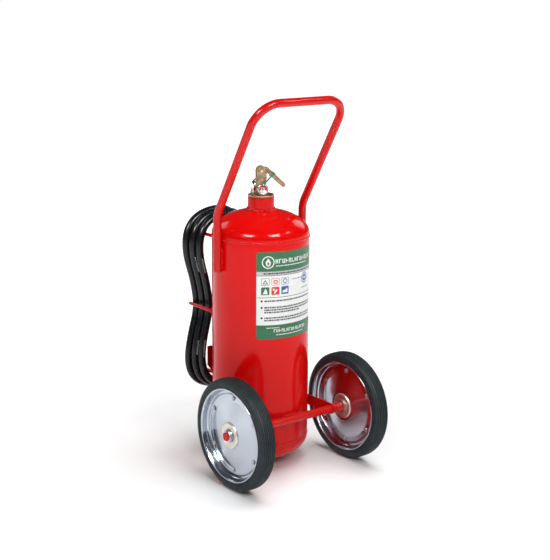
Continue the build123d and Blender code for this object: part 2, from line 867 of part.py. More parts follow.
# the holder: an arm from the tank's back with a ring round the nozzle's barrel
holder_z = nozzle_tip_z - nozzle_tip_length / 2
holder_bore = nozzle_tip_radius + part_gap
tank_reach = tank_radius + weld_gap
with BuildPart() as nozzle_holder:
    with BuildSketch(nozzle_level(holder_z)):
        Circle(holder_bore + holder_wall)
    extrude(amount=holder_height / 2, both=True)
    with BuildSketch(Plane.XY.offset(holder_z)):
        with Locations((nozzle_x, nozzle_y - nozzle_tip_radius)):
            Rectangle(14.0, nozzle_y, align=(Align.CENTER, Align.MAX))
    extrude(amount=2.5, both=True)
    with BuildSketch(nozzle_level(holder_z - holder_height)):
        Circle(holder_bore)
    extrude(amount=2 * holder_height, mode=Mode.SUBTRACT)
    with BuildSketch(Plane.XY.offset(holder_z - holder_height)):
        Circle(tank_reach)
    extrude(amount=2 * holder_height, mode=Mode.SUBTRACT)
    with BuildSketch(Plane.XY.offset(holder_z - holder_height)):
        with Locations((0, tank_radius / 2)):
            Rectangle(4 * tank_radius, tank_radius, align=(Align.CENTER, Align.MAX))
    extrude(amount=2 * holder_height, mode=Mode.SUBTRACT)
keep(nozzle_holder, "nozzle_holder")

# ------------------------------------------------------------------ hose rack
with BuildPart() as rack_pegs:
    for side in (-1, 1):
        for peg_z, tip_z in ((peg_upper_z, peg_upper_z + peg_tip), (peg_lower_z, peg_lower_z - peg_tip)):
            x = side * peg_x
            with BuildLine():
                peg_path = FilletPolyline(
                    (x, tank_radius * 0.75, peg_z), (x, peg_reach, peg_z), (x, peg_reach, tip_z), radius=peg_bend
                )
            with BuildSketch(Plane(origin=peg_path @ 0, z_dir=peg_path % 0)):
                Circle(rod_radius)
            sweep(path=peg_path)
    with BuildSketch(Plane.XY):
        Circle(tank_reach)
    extrude(amount=tank_height, mode=Mode.SUBTRACT)
keep(rack_pegs, "rack_pegs")

with BuildPart() as rack_retainers:
    for side in (-1, 1):
        with BuildSketch(Plane.XZ.offset(-tank_radius / 2)):
            with Locations((side * retainer_x, retainer_z)):
                Circle(rod_radius)
        extrude(amount=-(retainer_reach - tank_radius / 2))
    with BuildSketch(Plane.XY):
        Circle(tank_reach)
    extrude(amount=tank_height, mode=Mode.SUBTRACT)
keep(rack_retainers, "rack_retainers")

peg_top = peg_lower_z + rod_radius + weld_gap
upper_gusset = [
    (peg_x - 6.0, peg_upper_z - rod_radius - 38.0), (peg_x + 6.0, peg_upper_z - rod_radius - 38.0),
    (peg_x + 6.0, peg_upper_z - rod_radius - weld_gap), (peg_x - 6.0, peg_upper_z - rod_radius - weld_gap),
]
lower_gusset = [
    (peg_x - 6.0, peg_top), (peg_x + 6.0, peg_top), (peg_x + 25.0, peg_top + 24.0),
    (peg_x + 25.0, peg_top + 86.0), (peg_x + 9.0, peg_top + 86.0), (peg_x - 6.0, peg_top + 36.0),
]
with BuildPart() as rack_gussets:
    for outline in (upper_gusset, lower_gusset):
        for side in (-1, 1):
            with BuildSketch(Plane(origin=(0, gusset_y, 0), x_dir=(side, 0, 0), z_dir=(0, -side, 0))):
                with BuildLine():
                    Polyline(*outline, close=True)
                make_face()
            extrude(amount=gusset_thickness / 2, both=True)
keep(rack_gussets, "rack_gussets")

# ------------------------------------------------------------------ handle
handle_x = tank_radius + handle_radius + weld_gap
handle_top_z = handle_bend_z + handle_upper * cos(radians(handle_lean))
handle_top_y = -handle_upper * sin(radians(handle_lean))
with BuildPart() as handle_tube:
    with BuildLine():
        handle_path = FilletPolyline(
            (-handle_x, 0, handle_bottom_z), (-handle_x, 0, handle_bend_z),
            (-handle_x, handle_top_y, handle_top_z), (handle_x, handle_top_y, handle_top_z),
            (handle_x, 0, handle_bend_z), (handle_x, 0, handle_bottom_z),
            radius=[handle_lower_bend, handle_corner_bend, handle_corner_bend, handle_lower_bend],
        )
    with BuildSketch(Plane(origin=handle_path @ 0, z_dir=handle_path % 0)):
        Circle(handle_radius)
        Circle(handle_radius - handle_wall, mode=Mode.SUBTRACT)
    sweep(path=handle_path)
keep(handle_tube, "handle_tube")

# ------------------------------------------------------------------ axle
hub_inner_x = wheel_x - hub_half
hub_outer_x = wheel_x + hub_half
inner_washer_x = hub_inner_x - part_gap - washer_thickness
outer_washer_x = hub_outer_x + part_gap
stop_ring_x = outer_washer_x + washer_thickness + part_gap
cotter_x = stop_ring_x + stop_ring_width + cotter_radius + part_gap
sleeve_start_x = plate_x + plate_thickness + weld_gap


def axle_face(x):
    """A plane square to the axle at a distance along X, with its own y upwards."""
    return Plane(origin=(x, axle_y, axle_z), x_dir=(0, 1, 0), z_dir=(1, 0, 0))


def axle_rings(start, length, outer, inner):
    """A pair of rings on the axle, one at each side."""
    with BuildPart() as rings:
        for side in (-1, 1):
            with BuildSketch(axle_face(side * start)):
                Circle(outer)
                Circle(inner, mode=Mode.SUBTRACT)
            extrude(amount=side * length)
    return rings


with BuildPart() as axle_bar:
    with BuildSketch(axle_face(-axle_half)):
        Circle(axle_radius)
    extrude(amount=2 * axle_half)
    chamfer(axle_bar.edges().filter_by(GeomType.CIRCLE), length=1.5)
    for side in (-1, 1):
        with BuildSketch(Plane(origin=(side * cotter_x, axle_y, axle_z))):
            Circle(cotter_radius + fit_gap)
        extrude(amount=2 * axle_radius, both=True, mode=Mode.SUBTRACT)
keep(axle_bar, "axle_bar")

axle_sleeves = axle_rings(
    sleeve_start_x, inner_washer_x - weld_gap - sleeve_start_x, sleeve_radius, axle_radius + weld_gap
)
keep(axle_sleeves, "axle_sleeves")

with BuildPart() as axle_washers:
    for side in (-1, 1):
        for washer_x in (inner_washer_x, outer_washer_x):
            with BuildSketch(axle_face(side * washer_x)):
                Circle(washer_radius)
                Circle(axle_radius + weld_gap, mode=Mode.SUBTRACT)
            extrude(amount=side * washer_thickness)
keep(axle_washers, "axle_washers")

stop_rings = axle_rings(stop_ring_x, stop_ring_width, stop_ring_radius, axle_radius + weld_gap)
keep(stop_rings, "stop_rings")

with BuildPart() as cotter_pins:
    for side in (-1, 1):
        with BuildSketch(Plane(origin=(side * cotter_x, axle_y, axle_z))):
            Circle(cotter_radius)
        extrude(amount=cotter_length / 2, both=True)
keep(cotter_pins, "cotter_pins")

with BuildPart() as side_plates:
    for side in (-1, 1):
        with BuildSketch(axle_face(side * plate_x)):
            Circle(plate_height / 2)
            Rectangle(plate_tail - axle_y, plate_height, align=(Align.MIN, Align.CENTER))
            Circle(axle_radius + weld_gap, mode=Mode.SUBTRACT)
        extrude(amount=side * plate_thickness)
keep(side_plates, "side_plates")

# ------------------------------------------------------------------ wheels
lip_inner = rim_radius - 3.5
lip_wall = tyre_width / 2 - 0.3
well_radius = 134.5
seat_gap = 0.2
seat = tyre_seat - seat_gap
joint_a = weld_gap
flat_a = disc_edge_a + 0.4
shoulder_a = disc_hub_a - disc_wall - seat_gap
half_profile = [
    (lip_wall, rim_radius), (lip_wall, lip_inner), (lip_wall - 2.2, lip_inner - 2.0),
    (groove_a + 4.0, well_radius), (groove_a, well_radius - 3.0), (groove_a, disc_radius + 3.0),
    (disc_edge_a, disc_radius), (flat_a, disc_flat), (disc_hub_a, disc_land), (disc_hub_a, disc_hole),
    (disc_hub_a - disc_wall, disc_hole), (disc_hub_a - disc_wall, disc_land), (joint_a + 2.5, disc_flat - 6.0),
    (joint_a, disc_flat), (joint_a, seat), (lip_wall - rim_wall, seat), (lip_wall - rim_wall, rim_radius),
]
def wheel_plane(side):
    """A plane through the wheel's axis: x points outwards along the axle, y upwards."""
    return Plane(origin=(side * wheel_x, axle_y, axle_z), x_dir=(side, 0, 0), z_dir=(0, -side, 0))


def wheel_face(side, a):
    """A plane square to the axle at an outward distance from the wheel's middle."""
    return Plane(origin=(side * (wheel_x + a), axle_y, axle_z), x_dir=(0, 1, 0), z_dir=(side, 0, 0))


def bolt_drills(side):
    """The ring of drills that cut the bolt holes through both rim halves."""
    with BuildPart() as drills:
        with BuildSketch(wheel_face(side, -tyre_width)):
            with PolarLocations(bolt_circle, bolt_count, start_angle=90):
                Circle(bolt_radius + weld_gap)
        extrude(amount=2 * tyre_width)
    return drills


for side, side_name in ((-1, "left"), (1, "right")):
    wheel_axis = Axis((side * wheel_x, axle_y, axle_z), (side, 0, 0))

    with BuildPart() as tyre:
        with BuildSketch(wheel_plane(side)):
            with Locations((0, rim_radius + part_gap)):
                crown = Rectangle(tyre_width, wheel_radius - rim_radius - part_gap, align=(Align.CENTER, Align.MIN))
            fillet(crown.vertices().group_by(Axis.Y)[-1], radius=11.0)
            fillet(crown.vertices().group_by(Axis.Y)[0], radius=2.0)
            with Locations((0, tyre_seat)):
                Rectangle(2 * (lip_wall - rim_wall - seat_gap), 10.0, align=(Align.CENTER, Align.MIN))
        revolve(axis=wheel_axis)
    keep(tyre, f"{side_name}_tyre")

    # both halves share one profile: rolled lip, deep barrel, bolted ring and a cone out to the hub
    for half_name, sense in (("rim_outer", 1), ("rim_inner", -1)):
        shell = turned(wheel_plane(side), wheel_axis, [(sense * a, radius) for a, radius in half_profile])
        with BuildPart() as rim_half:
            add(shell.part)
            add(bolt_drills(side).part, mode=Mode.SUBTRACT)
        keep(rim_half, f"{side_name}_{half_name}")

    hub_side = [
        (hub_half - bearing_width, bearing_radius - 2), (hub_half - bearing_width, bearing_radius),
        (hub_half, bearing_radius), (hub_half, disc_hole - 1.7), (hub_half - 1.5, disc_hole - seat_gap),
        (shoulder_a, disc_hole - seat_gap), (shoulder_a, hub_shoulder), (shoulder_a - 4.0, hub_shoulder),
        (shoulder_a - 9.0, hub_waist),
    ]
    hub_mirror = [(-a, radius) for a, radius in reversed(hub_side)]
    hub = turned(wheel_plane(side), wheel_axis, hub_side + hub_mirror)
    keep(hub, f"{side_name}_hub")

    with BuildPart() as bearings:
        for a in (0.1 - hub_half, hub_half - bearing_width + 0.1):
            with BuildSketch(wheel_face(side, a)):
                Circle(bearing_radius - fit_gap)
                Circle(axle_radius + fit_gap, mode=Mode.SUBTRACT)
            extrude(amount=bearing_width - 0.2)
    keep(bearings, f"{side_name}_bearings")

    head_a = flat_a + part_gap
    nut_a = -head_a
    with BuildPart() as rim_bolts:
        with BuildSketch(wheel_face(side, head_a)):
            with PolarLocations(bolt_circle, bolt_count, start_angle=90):
                RegularPolygon(5.0, 6, major_radius=False)
        extrude(amount=bolt_head)
        with BuildSketch(wheel_face(side, nut_a - bolt_head)):
            with PolarLocations(bolt_circle, bolt_count, start_angle=90):
                RegularPolygon(5.0, 6, major_radius=False)
        extrude(amount=bolt_head)
        with BuildSketch(wheel_face(side, nut_a - bolt_head - 2.0)):
            with PolarLocations(bolt_circle, bolt_count, start_angle=90):
                Circle(bolt_radius)
        extrude(amount=head_a - nut_a + bolt_head + 3.0)
    keep(rim_bolts, f"{side_name}_rim_bolts")

# ------------------------------------------------------------------ label and rear foot
label_start = radians(-90 - label_half_angle)
with BuildPart() as label_sheet:
    with BuildSketch(Plane(origin=(0, 0, 0), x_dir=(cos(label_start), sin(label_start), 0),
                           z_dir=(sin(label_start), -cos(label_start), 0))):
        with Locations((tank_reach, label_bottom_z)):
            Rectangle(label_thickness, label_top_z - label_bottom_z, align=(Align.MIN, Align.MIN))
    revolve(axis=Axis.Z, revolution_arc=2 * label_half_angle)
keep(label_sheet, "label_sheet")

foot_start = radians(90 - foot_half_angle)
with BuildPart() as rear_foot:
    with BuildSketch(Plane(origin=(0, 0, 0), x_dir=(cos(foot_start), sin(foot_start), 0),
                           z_dir=(sin(foot_start), -cos(foot_start), 0))):
        with BuildLine():
            Polyline(
                (foot_radius, 0), (foot_radius + foot_flange, 0), (foot_radius + foot_flange, foot_wall),
                (foot_radius + foot_wall, foot_wall),
                (foot_radius + foot_wall, dish_z(foot_radius + foot_wall) - part_gap),
                (foot_radius, dish_z(foot_radius) - part_gap), close=True,
            )
        make_face()
    revolve(axis=Axis.Z, revolution_arc=2 * foot_half_angle)
keep(rear_foot, "rear_foot")
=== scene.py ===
# %% [markdown]
# # A wheeled fire extinguisher
# The real thing is a welded steel tank on two alloy wheels, with a bent push handle, a
# cast valve on top and a rubber hose wound on hooks at the back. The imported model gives
# every size, so this lesson only adds what a maker would see up close: rolled edges,
# weld ripples, tread, printed film, brushed alloy and paint.

import json
from math import cos, floor, pi, radians, sin, sqrt, tan

import bmesh
import bpy
from mathutils import Matrix, Vector

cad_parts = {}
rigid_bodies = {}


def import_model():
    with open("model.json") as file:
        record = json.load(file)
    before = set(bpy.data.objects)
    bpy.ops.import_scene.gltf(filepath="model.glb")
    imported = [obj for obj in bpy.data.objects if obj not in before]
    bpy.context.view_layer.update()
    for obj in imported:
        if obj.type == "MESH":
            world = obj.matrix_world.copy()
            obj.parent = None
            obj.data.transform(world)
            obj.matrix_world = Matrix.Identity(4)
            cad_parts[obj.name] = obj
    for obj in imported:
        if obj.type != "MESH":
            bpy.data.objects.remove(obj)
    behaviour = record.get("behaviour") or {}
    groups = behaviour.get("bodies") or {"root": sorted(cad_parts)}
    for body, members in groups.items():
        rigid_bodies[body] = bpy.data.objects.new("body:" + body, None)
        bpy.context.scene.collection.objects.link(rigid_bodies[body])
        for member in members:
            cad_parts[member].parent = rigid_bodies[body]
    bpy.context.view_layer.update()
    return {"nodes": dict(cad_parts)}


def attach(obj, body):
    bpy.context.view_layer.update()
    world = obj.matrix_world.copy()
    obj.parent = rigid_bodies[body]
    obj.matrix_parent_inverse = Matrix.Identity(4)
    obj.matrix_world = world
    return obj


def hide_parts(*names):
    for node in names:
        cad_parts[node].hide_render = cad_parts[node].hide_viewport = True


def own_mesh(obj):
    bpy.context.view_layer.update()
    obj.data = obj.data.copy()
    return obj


for left_over in list(bpy.data.objects):
    bpy.data.objects.remove(left_over)
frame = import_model()
nodes = frame["nodes"]
MM = 0.001

# %% [markdown]
# ## Camera
# A long lens from a little above the middle of the tank, turned towards the left wheel.
# The turn is built from three plain rotations, so each angle stays readable.

# %% Camera
CAMERA_PLACE = Vector((-2.2313, -2.8979, 1.4579))
CAMERA_YAW, CAMERA_PITCH, CAMERA_ROLL = radians(-38.29), radians(13.61), radians(0.43)

camera_data = bpy.data.cameras.new("camera")
camera_data.lens = 78.57
camera_data.sensor_width = 36.0
camera = bpy.data.objects.new("camera", camera_data)
bpy.context.scene.collection.objects.link(camera)
camera.matrix_world = (
    Matrix.Translation(CAMERA_PLACE)
    @ Matrix.Rotation(CAMERA_YAW, 4, "Z")
    @ Matrix.Rotation(pi / 2 - CAMERA_PITCH, 4, "X")
    @ Matrix.Rotation(CAMERA_ROLL, 4, "Z")
)
bpy.context.scene.camera = camera
print("camera at", [round(v, 2) for v in CAMERA_PLACE])

# %% [markdown]
# ## Hose
# The hose is limp rubber, 24 mm outside. It leaves the ferrule pointing down and back,
# drops behind the tank's shoulder, makes three turns round the hooks and ends in the
# nozzle. The turns are drawn in at the waist by the two side rods. One smooth spline
# holds it all, and the turns come from a loop with twenty points to a turn.

# %% The hose's route
HOSE_RADIUS = 12.0
FIRST_ANGLE, LAST_ANGLE, ANGLE_STEP = 50, 1110, 18
TURN_PITCH = 24.4


def coil_point(angle):
    """A point of the coil: each turn is larger and further back than the last."""
    turn = radians(angle)
    size = (angle - 270) / 360
    waist, bulge = 70 + 7 * size, 141 + 13.5 * size
    height, centre = 278 + 5.5 * size, 474 - size
    across = sin(turn) * (waist + bulge * cos(turn) ** 2 - 7.5 * cos(6.5 * cos(turn)))
    back = 165 + TURN_PITCH * (angle - FIRST_ANGLE) / 360
    return (across * 1.01, back, centre + height * cos(turn) * 1.008)


hose_exit = (38.16, 81.84, 830.7)
lead_points = [hose_exit, (48.92, 104.92, 805.24), (82, 143, 771), (95, 162, 728)]
turn_points = [coil_point(a) for a in range(FIRST_ANGLE, LAST_ANGLE + 1, ANGLE_STEP)]
tail_points = [(98, 237, 672), (82, 236, 614), (64, 239, 567), (46, 240, 520), (34, 240, 484)]
hose_end = (34, 240, 456)
route = lead_points + turn_points + tail_points + [hose_end]
print("the hose follows", len(route), "points")


# %% The hose itself
def hose_spline(name, bevel):
    """One open spline through the route, with or without its round section."""
    curve = bpy.data.curves.new(name, "CURVE")
    curve.dimensions = "3D"
    curve.resolution_u = 8
    curve.bevel_depth = bevel * MM
    curve.bevel_resolution = 7
    spline = curve.splines.new("NURBS")
    spline.points.add(len(route) - 1)
    for point, place in zip(spline.points, route):
        point.co = (*(v * MM for v in place), 1.0)
    spline.order_u = 3
    spline.use_endpoint_u = True
    piece = bpy.data.objects.new(name, curve)
    bpy.context.scene.collection.objects.link(piece)
    return piece


hose = hose_spline("hose", HOSE_RADIUS)
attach(hose, "tank")
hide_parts("hose_lead", "hose_coil", "hose_tail")


def plain(piece):
    """The piece's evaluated mesh, with no modifiers left."""
    graph = bpy.context.evaluated_depsgraph_get()
    return bpy.data.meshes.new_from_object(piece.evaluated_get(graph))


guide = hose_spline("hose_guide", 0.0)
hose_line = [v.co.copy() for v in plain(guide).vertices]
bpy.data.objects.remove(guide)

# %% [markdown]
# ## Tools for solid pieces
# Most of this object is turned, bent or cut from plate, so three small tools make it:
# a lathe, a tube that follows a bent line, and a plate with softened edges. Each takes
# millimetres and gives a mesh in metres with its faces outwards.


# %% Rounded corners
def arc_corner(before, corner, after, bend, steps):
    """Replace a corner by a true arc; the bend shrinks where its runs are short."""
    one, other = (before - corner), (after - corner)
    room = 0.48 * min(one.length, other.length)
    one.normalize()
    other.normalize()
    half = one.angle(other) / 2
    if half > pi / 2 - 0.02 or bend <= 0:
        return [corner]
    bend = min(bend, room * tan(half))
    middle = corner + (one + other).normalized() * bend / sin(half)
    start = corner + one * bend / tan(half) - middle
    end = corner + other * bend / tan(half) - middle
    swing = [start.slerp(end, k / steps).normalized() for k in range(steps + 1)]
    return [middle + way * bend for way in swing]


def rounded(points, bend, steps=4, closed=True):
    """A line or loop of points with its corners rounded; bend may be a list."""
    places = [Vector(p) for p in points]
    bends = bend if isinstance(bend, (list, tuple)) else [bend] * len(places)
    out = []
    for i, corner in enumerate(places):
        if not closed and i in (0, len(places) - 1):
            out.append(corner)
            continue
        after = places[(i + 1) % len(places)]
        out += arc_corner(places[i - 1], corner, after, bends[i], steps)
    return out


corner_sample = arc_corner(Vector((1, 0)), Vector((0, 0)), Vector((0, 1)), 0.2, 4)
print("a square corner becomes", len(corner_sample), "points")


# %% Lathe
def lathe(profile, spot, along, steps=128, closed=False):
    """Turn a profile of (along, radius) pairs about an axis through a spot."""
    along = Vector(along).normalized()
    side = along.orthogonal().normalized()
    other = along.cross(side)
    ways = [side * cos(2 * pi * i / steps) + other * sin(2 * pi * i / steps) for i in range(steps)]
    bm = bmesh.new()
    rings = []
    for a, r in profile:
        centre = Vector(spot) + along * a
        spokes = ways if r > 1e-6 else ways[:1]
        rings.append([bm.verts.new((centre + way * max(r, 0)) * MM) for way in spokes])
    pairs = list(zip(rings, rings[1:]))
    if closed:
        pairs.append((rings[-1], rings[0]))
    for near, far in pairs:
        for i in range(steps):
            j = (i + 1) % steps
            corners = [near[i % len(near)], near[j % len(near)], far[j % len(far)], far[i % len(far)]]
            corners = list(dict.fromkeys(corners))
            if len(corners) > 2:
                bm.faces.new(corners)
    bmesh.ops.recalc_face_normals(bm, faces=bm.faces)
    return bm


# %% Tube and rod
def tube(line, outer, inner=0.0, sides=24, tip=0.0):
    """Carry a round section along a line; inner leaves it hollow, tip rounds its ends."""
    line = [Vector(p) for p in line]
    ways = [(b - a).normalized() for a, b in zip(line, line[1:])]
    ways = [ways[0]] + [(a + b).normalized() for a, b in zip(ways, ways[1:])] + [ways[-1]]
    side = ways[0].orthogonal().normalized()
    stations = []
    for place, way in zip(line, ways):
        side = (side - way * side.dot(way)).normalized()
        stations.append((place, way, side, outer))
    if tip:
        first, last = stations[0], stations[-1]
        swing = [radians(a) for a in (15, 35, 55, 75)]
        head = [(first[0] + first[1] * tip * (1 - sin(a)), first[1], first[2], outer - tip + tip * cos(a))
                for a in reversed(swing)]
        tail = [(last[0] - last[1] * tip * (1 - sin(a)), last[1], last[2], outer - tip + tip * cos(a))
                for a in swing]
        body = stations[1:-1]
        start = (first[0] + first[1] * tip, first[1], first[2], outer)
        finish = (last[0] - last[1] * tip, last[1], last[2], outer)
        stations = head + [start] + body + [finish] + tail
    if inner:
        stations += [(p, w, s, inner) for p, w, s, r in reversed(stations)]
    bm = bmesh.new()
    rings = []
    for place, way, side, radius in stations:
        other = way.cross(side)
        spokes = [side * cos(2 * pi * i / sides) + other * sin(2 * pi * i / sides) for i in range(sides)]
        rings.append([bm.verts.new((place + spoke * radius) * MM) for spoke in spokes])
    pairs = list(zip(rings, rings[1:]))
    if inner:
        pairs.append((rings[-1], rings[0]))
    else:
        bm.faces.new(rings[0])
        bm.faces.new(rings[-1])
    for near, far in pairs:
        for i in range(sides):
            j = (i + 1) % sides
            bm.faces.new([near[i], near[j], far[j], far[i]])
    bmesh.ops.recalc_face_normals(bm, faces=bm.faces)
    return bm


# %% Plate
def plate(outline, spot, across, upward, thickness, soften=0.5):
    """Cut an outline from plate, half its thickness each side, and soften its edges."""
    across, upward = Vector(across).normalized(), Vector(upward).normalized()
    through = across.cross(upward)
    bm = bmesh.new()
    faces = []
    for sense in (-0.5, 0.5):
        level = Vector(spot) + through * thickness * sense
        faces.append([bm.verts.new((level + across * x + upward * y) * MM) for x, y in outline])
    back, front = faces
    bm.faces.new(list(reversed(back)))
    bm.faces.new(front)
    rims = [e for e in bm.edges]
    for i in range(len(back)):
        j = (i + 1) % len(back)
        bm.faces.new([back[i], back[j], front[j], front[i]])
    if soften:
        bmesh.ops.bevel(bm, geom=rims, offset=soften * MM, segments=2, affect="EDGES", clamp_overlap=True)
    bmesh.ops.recalc_face_normals(bm, faces=bm.faces)
    return bm


# %% Settling a piece on its body
def settle(name, source, paint, body, hides=(), sharp=35):
    """Make an object from a mesh or bmesh, give it a finish and seat it on a body."""
    mesh = source
    if isinstance(source, bmesh.types.BMesh):
        mesh = bpy.data.meshes.new(name)
        source.to_mesh(mesh)
        source.free()
    mesh.name = name
    if paint:
        mesh.materials.clear()
        mesh.materials.append(paint)
    mesh.shade_smooth()
    mesh.set_sharp_from_angle(angle=radians(sharp))
    piece = bpy.data.objects.new(name, mesh)
    bpy.context.scene.collection.objects.link(piece)
    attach(piece, body)
    if hides:
        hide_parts(*hides)
    return piece


def joined(*parts):
    """Several bmeshes as one."""
    whole = bmesh.new()
    for part in parts:
        mesh = bpy.data.meshes.new("part")
        part.to_mesh(mesh)
        part.free()
        whole.from_mesh(mesh)
        bpy.data.meshes.remove(mesh)
    return whole


# %% [markdown]
# ## Shared effects
# Four small shader groups serve every finish. Grain gives a fine bump and an uneven
# gloss, tint lets one colour drift into another, dust settles on what is near the floor,
# and grooves are the fine rings that a lathe leaves round the axle.

# %% Building shader groups
def new_group(name, inputs, outputs):
    """An empty shader group with named sockets: (name, kind, default)."""
    tree = bpy.data.node_groups.new(name, "ShaderNodeTree")
    for label, kind, value in inputs:
        socket = tree.interface.new_socket(label, in_out="INPUT", socket_type=kind)
        socket.default_value = value
    for label, kind in outputs:
        tree.interface.new_socket(label, in_out="OUTPUT", socket_type=kind)
    return tree, tree.nodes.new("NodeGroupInput"), tree.nodes.new("NodeGroupOutput")


def noise(tree, scale, detail=4.0, rough=0.5, where=None):
    """A noise texture on Object coordinates, or on another vector."""
    node = tree.nodes.new("ShaderNodeTexNoise")
    node.inputs["Detail"].default_value = detail
    node.inputs["Roughness"].default_value = rough
    if where is None:
        where = tree.nodes.new("ShaderNodeTexCoord").outputs["Object"]
    tree.links.new(where, node.inputs["Vector"])
    if isinstance(scale, bpy.types.NodeSocket):
        tree.links.new(scale, node.inputs["Scale"])
    else:
        node.inputs["Scale"].default_value = scale
    return node


def spread(tree, value, low, high, to_low, to_high):
    """Map Range with plain numbers or sockets."""
    node = tree.nodes.new("ShaderNodeMapRange")
    tree.links.new(value, node.inputs["Value"])
    for label, item in (("From Min", low), ("From Max", high), ("To Min", to_low), ("To Max", to_high)):
        if isinstance(item, bpy.types.NodeSocket):
            tree.links.new(item, node.inputs[label])
        else:
            node.inputs[label].default_value = item
    return node.outputs["Result"]


def maths(tree, kind, *items):
    """A Math node on sockets and numbers."""
    node = tree.nodes.new("ShaderNodeMath")
    node.operation = kind
    for slot_in, item in zip(node.inputs, items):
        if isinstance(item, bpy.types.NodeSocket):
            tree.links.new(item, slot_in)
        else:
            slot_in.default_value = item
    return node.outputs[0]


def blend_colours(tree, share, one, other):
    """Mix two colours by a share."""
    node = tree.nodes.new("ShaderNodeMix")
    node.data_type = "RGBA"
    for slot_in, item in ((node.inputs["Factor"], share), (node.inputs[6], one), (node.inputs[7], other)):
        if isinstance(item, bpy.types.NodeSocket):
            tree.links.new(item, slot_in)
        else:
            slot_in.default_value = item
    return node.outputs[2]


FLOAT, COLOUR = "NodeSocketFloat", "NodeSocketColor"

# %% Grain, tint, dust and grooves
grain_group, g_in, g_out = new_group(
    "surface_grain",
    [("Scale", FLOAT, 200.0), ("Matt", FLOAT, 0.4), ("Gloss", FLOAT, 0.3)],
    [("Roughness", FLOAT), ("Height", FLOAT)],
)
fine = noise(grain_group, g_in.outputs["Scale"], 5.0, 0.6)
broad = noise(grain_group, maths(grain_group, "MULTIPLY", g_in.outputs["Scale"], 0.06), 3.0)
gloss = spread(grain_group, broad.outputs["Fac"], 0.3, 0.7, g_in.outputs["Gloss"], g_in.outputs["Matt"])
grain_group.links.new(gloss, g_out.inputs["Roughness"])
grain_group.links.new(fine.outputs["Fac"], g_out.inputs["Height"])

tint_group, t_in, t_out = new_group(
    "drifting_tint",
    [("Colour", COLOUR, (1, 1, 1, 1)), ("Other", COLOUR, (0, 0, 0, 1)), ("Scale", FLOAT, 8.0),
     ("Low", FLOAT, 0.4), ("High", FLOAT, 0.7)],
    [("Colour", COLOUR), ("Share", FLOAT)],
)
drift = noise(tint_group, t_in.outputs["Scale"], 6.0, 0.65)
share = spread(tint_group, drift.outputs["Fac"], t_in.outputs["Low"], t_in.outputs["High"], 0.0, 1.0)
tint = blend_colours(tint_group, share, t_in.outputs["Colour"], t_in.outputs["Other"])
tint_group.links.new(tint, t_out.inputs["Colour"])
tint_group.links.new(share, t_out.inputs["Share"])

dust_group, d_in, d_out = new_group(
    "settled_dust",
    [("Colour", COLOUR, (1, 1, 1, 1)), ("Top", FLOAT, 0.2), ("Amount", FLOAT, 0.2)],
    [("Colour", COLOUR), ("Mask", FLOAT)],
)
dust_place = dust_group.nodes.new("ShaderNodeTexCoord")
dust_split = dust_group.nodes.new("ShaderNodeSeparateXYZ")
dust_group.links.new(dust_place.outputs["Object"], dust_split.inputs[0])
height_share = spread(dust_group, dust_split.outputs["Z"], 0.0, d_in.outputs["Top"], 1.0, 0.0)
speckle = noise(dust_group, 60.0, 8.0, 0.7).outputs["Fac"]
dust_mask = maths(dust_group, "MULTIPLY", height_share, spread(dust_group, speckle, 0.35, 0.7, 0.0, 1.0))
dust_mask = maths(dust_group, "MULTIPLY", dust_mask, d_in.outputs["Amount"])
dust_tint = blend_colours(dust_group, dust_mask, d_in.outputs["Colour"], (0.42, 0.40, 0.37, 1))
dust_group.links.new(dust_tint, d_out.inputs["Colour"])
dust_group.links.new(dust_mask, d_out.inputs["Mask"])

AXLE_Y, AXLE_Z = -0.166, 0.169
groove_group, r_in, r_out = new_group(
    "lathe_grooves", [("Rings", FLOAT, 900.0)], [("Height", FLOAT), ("Radius", FLOAT)]
)
groove_place = groove_group.nodes.new("ShaderNodeTexCoord")
groove_split = groove_group.nodes.new("ShaderNodeSeparateXYZ")
groove_group.links.new(groove_place.outputs["Object"], groove_split.inputs[0])
off_y = maths(groove_group, "SUBTRACT", groove_split.outputs["Y"], AXLE_Y)
off_z = maths(groove_group, "SUBTRACT", groove_split.outputs["Z"], AXLE_Z)
square_y = maths(groove_group, "POWER", off_y, 2.0)
square_z = maths(groove_group, "POWER", off_z, 2.0)
squares = maths(groove_group, "ADD", square_y, square_z)
ring_radius = maths(groove_group, "SQRT", squares)
ring_line = groove_group.nodes.new("ShaderNodeCombineXYZ")
groove_group.links.new(ring_radius, ring_line.inputs[0])
rings = noise(groove_group, r_in.outputs["Rings"], 3.0, 0.6, ring_line.outputs[0])
groove_group.links.new(rings.outputs["Fac"], r_out.inputs["Height"])
groove_group.links.new(ring_radius, r_out.inputs["Radius"])
print("shader groups:", [g.name for g in bpy.data.node_groups])


# %% Making a finish from the groups
def place_group(tree, group, **values):
    """Put a shared group into a material with its own values."""
    node = tree.nodes.new("ShaderNodeGroup")
    node.node_tree = group
    for label, value in values.items():
        node.inputs[label].default_value = value
    return node


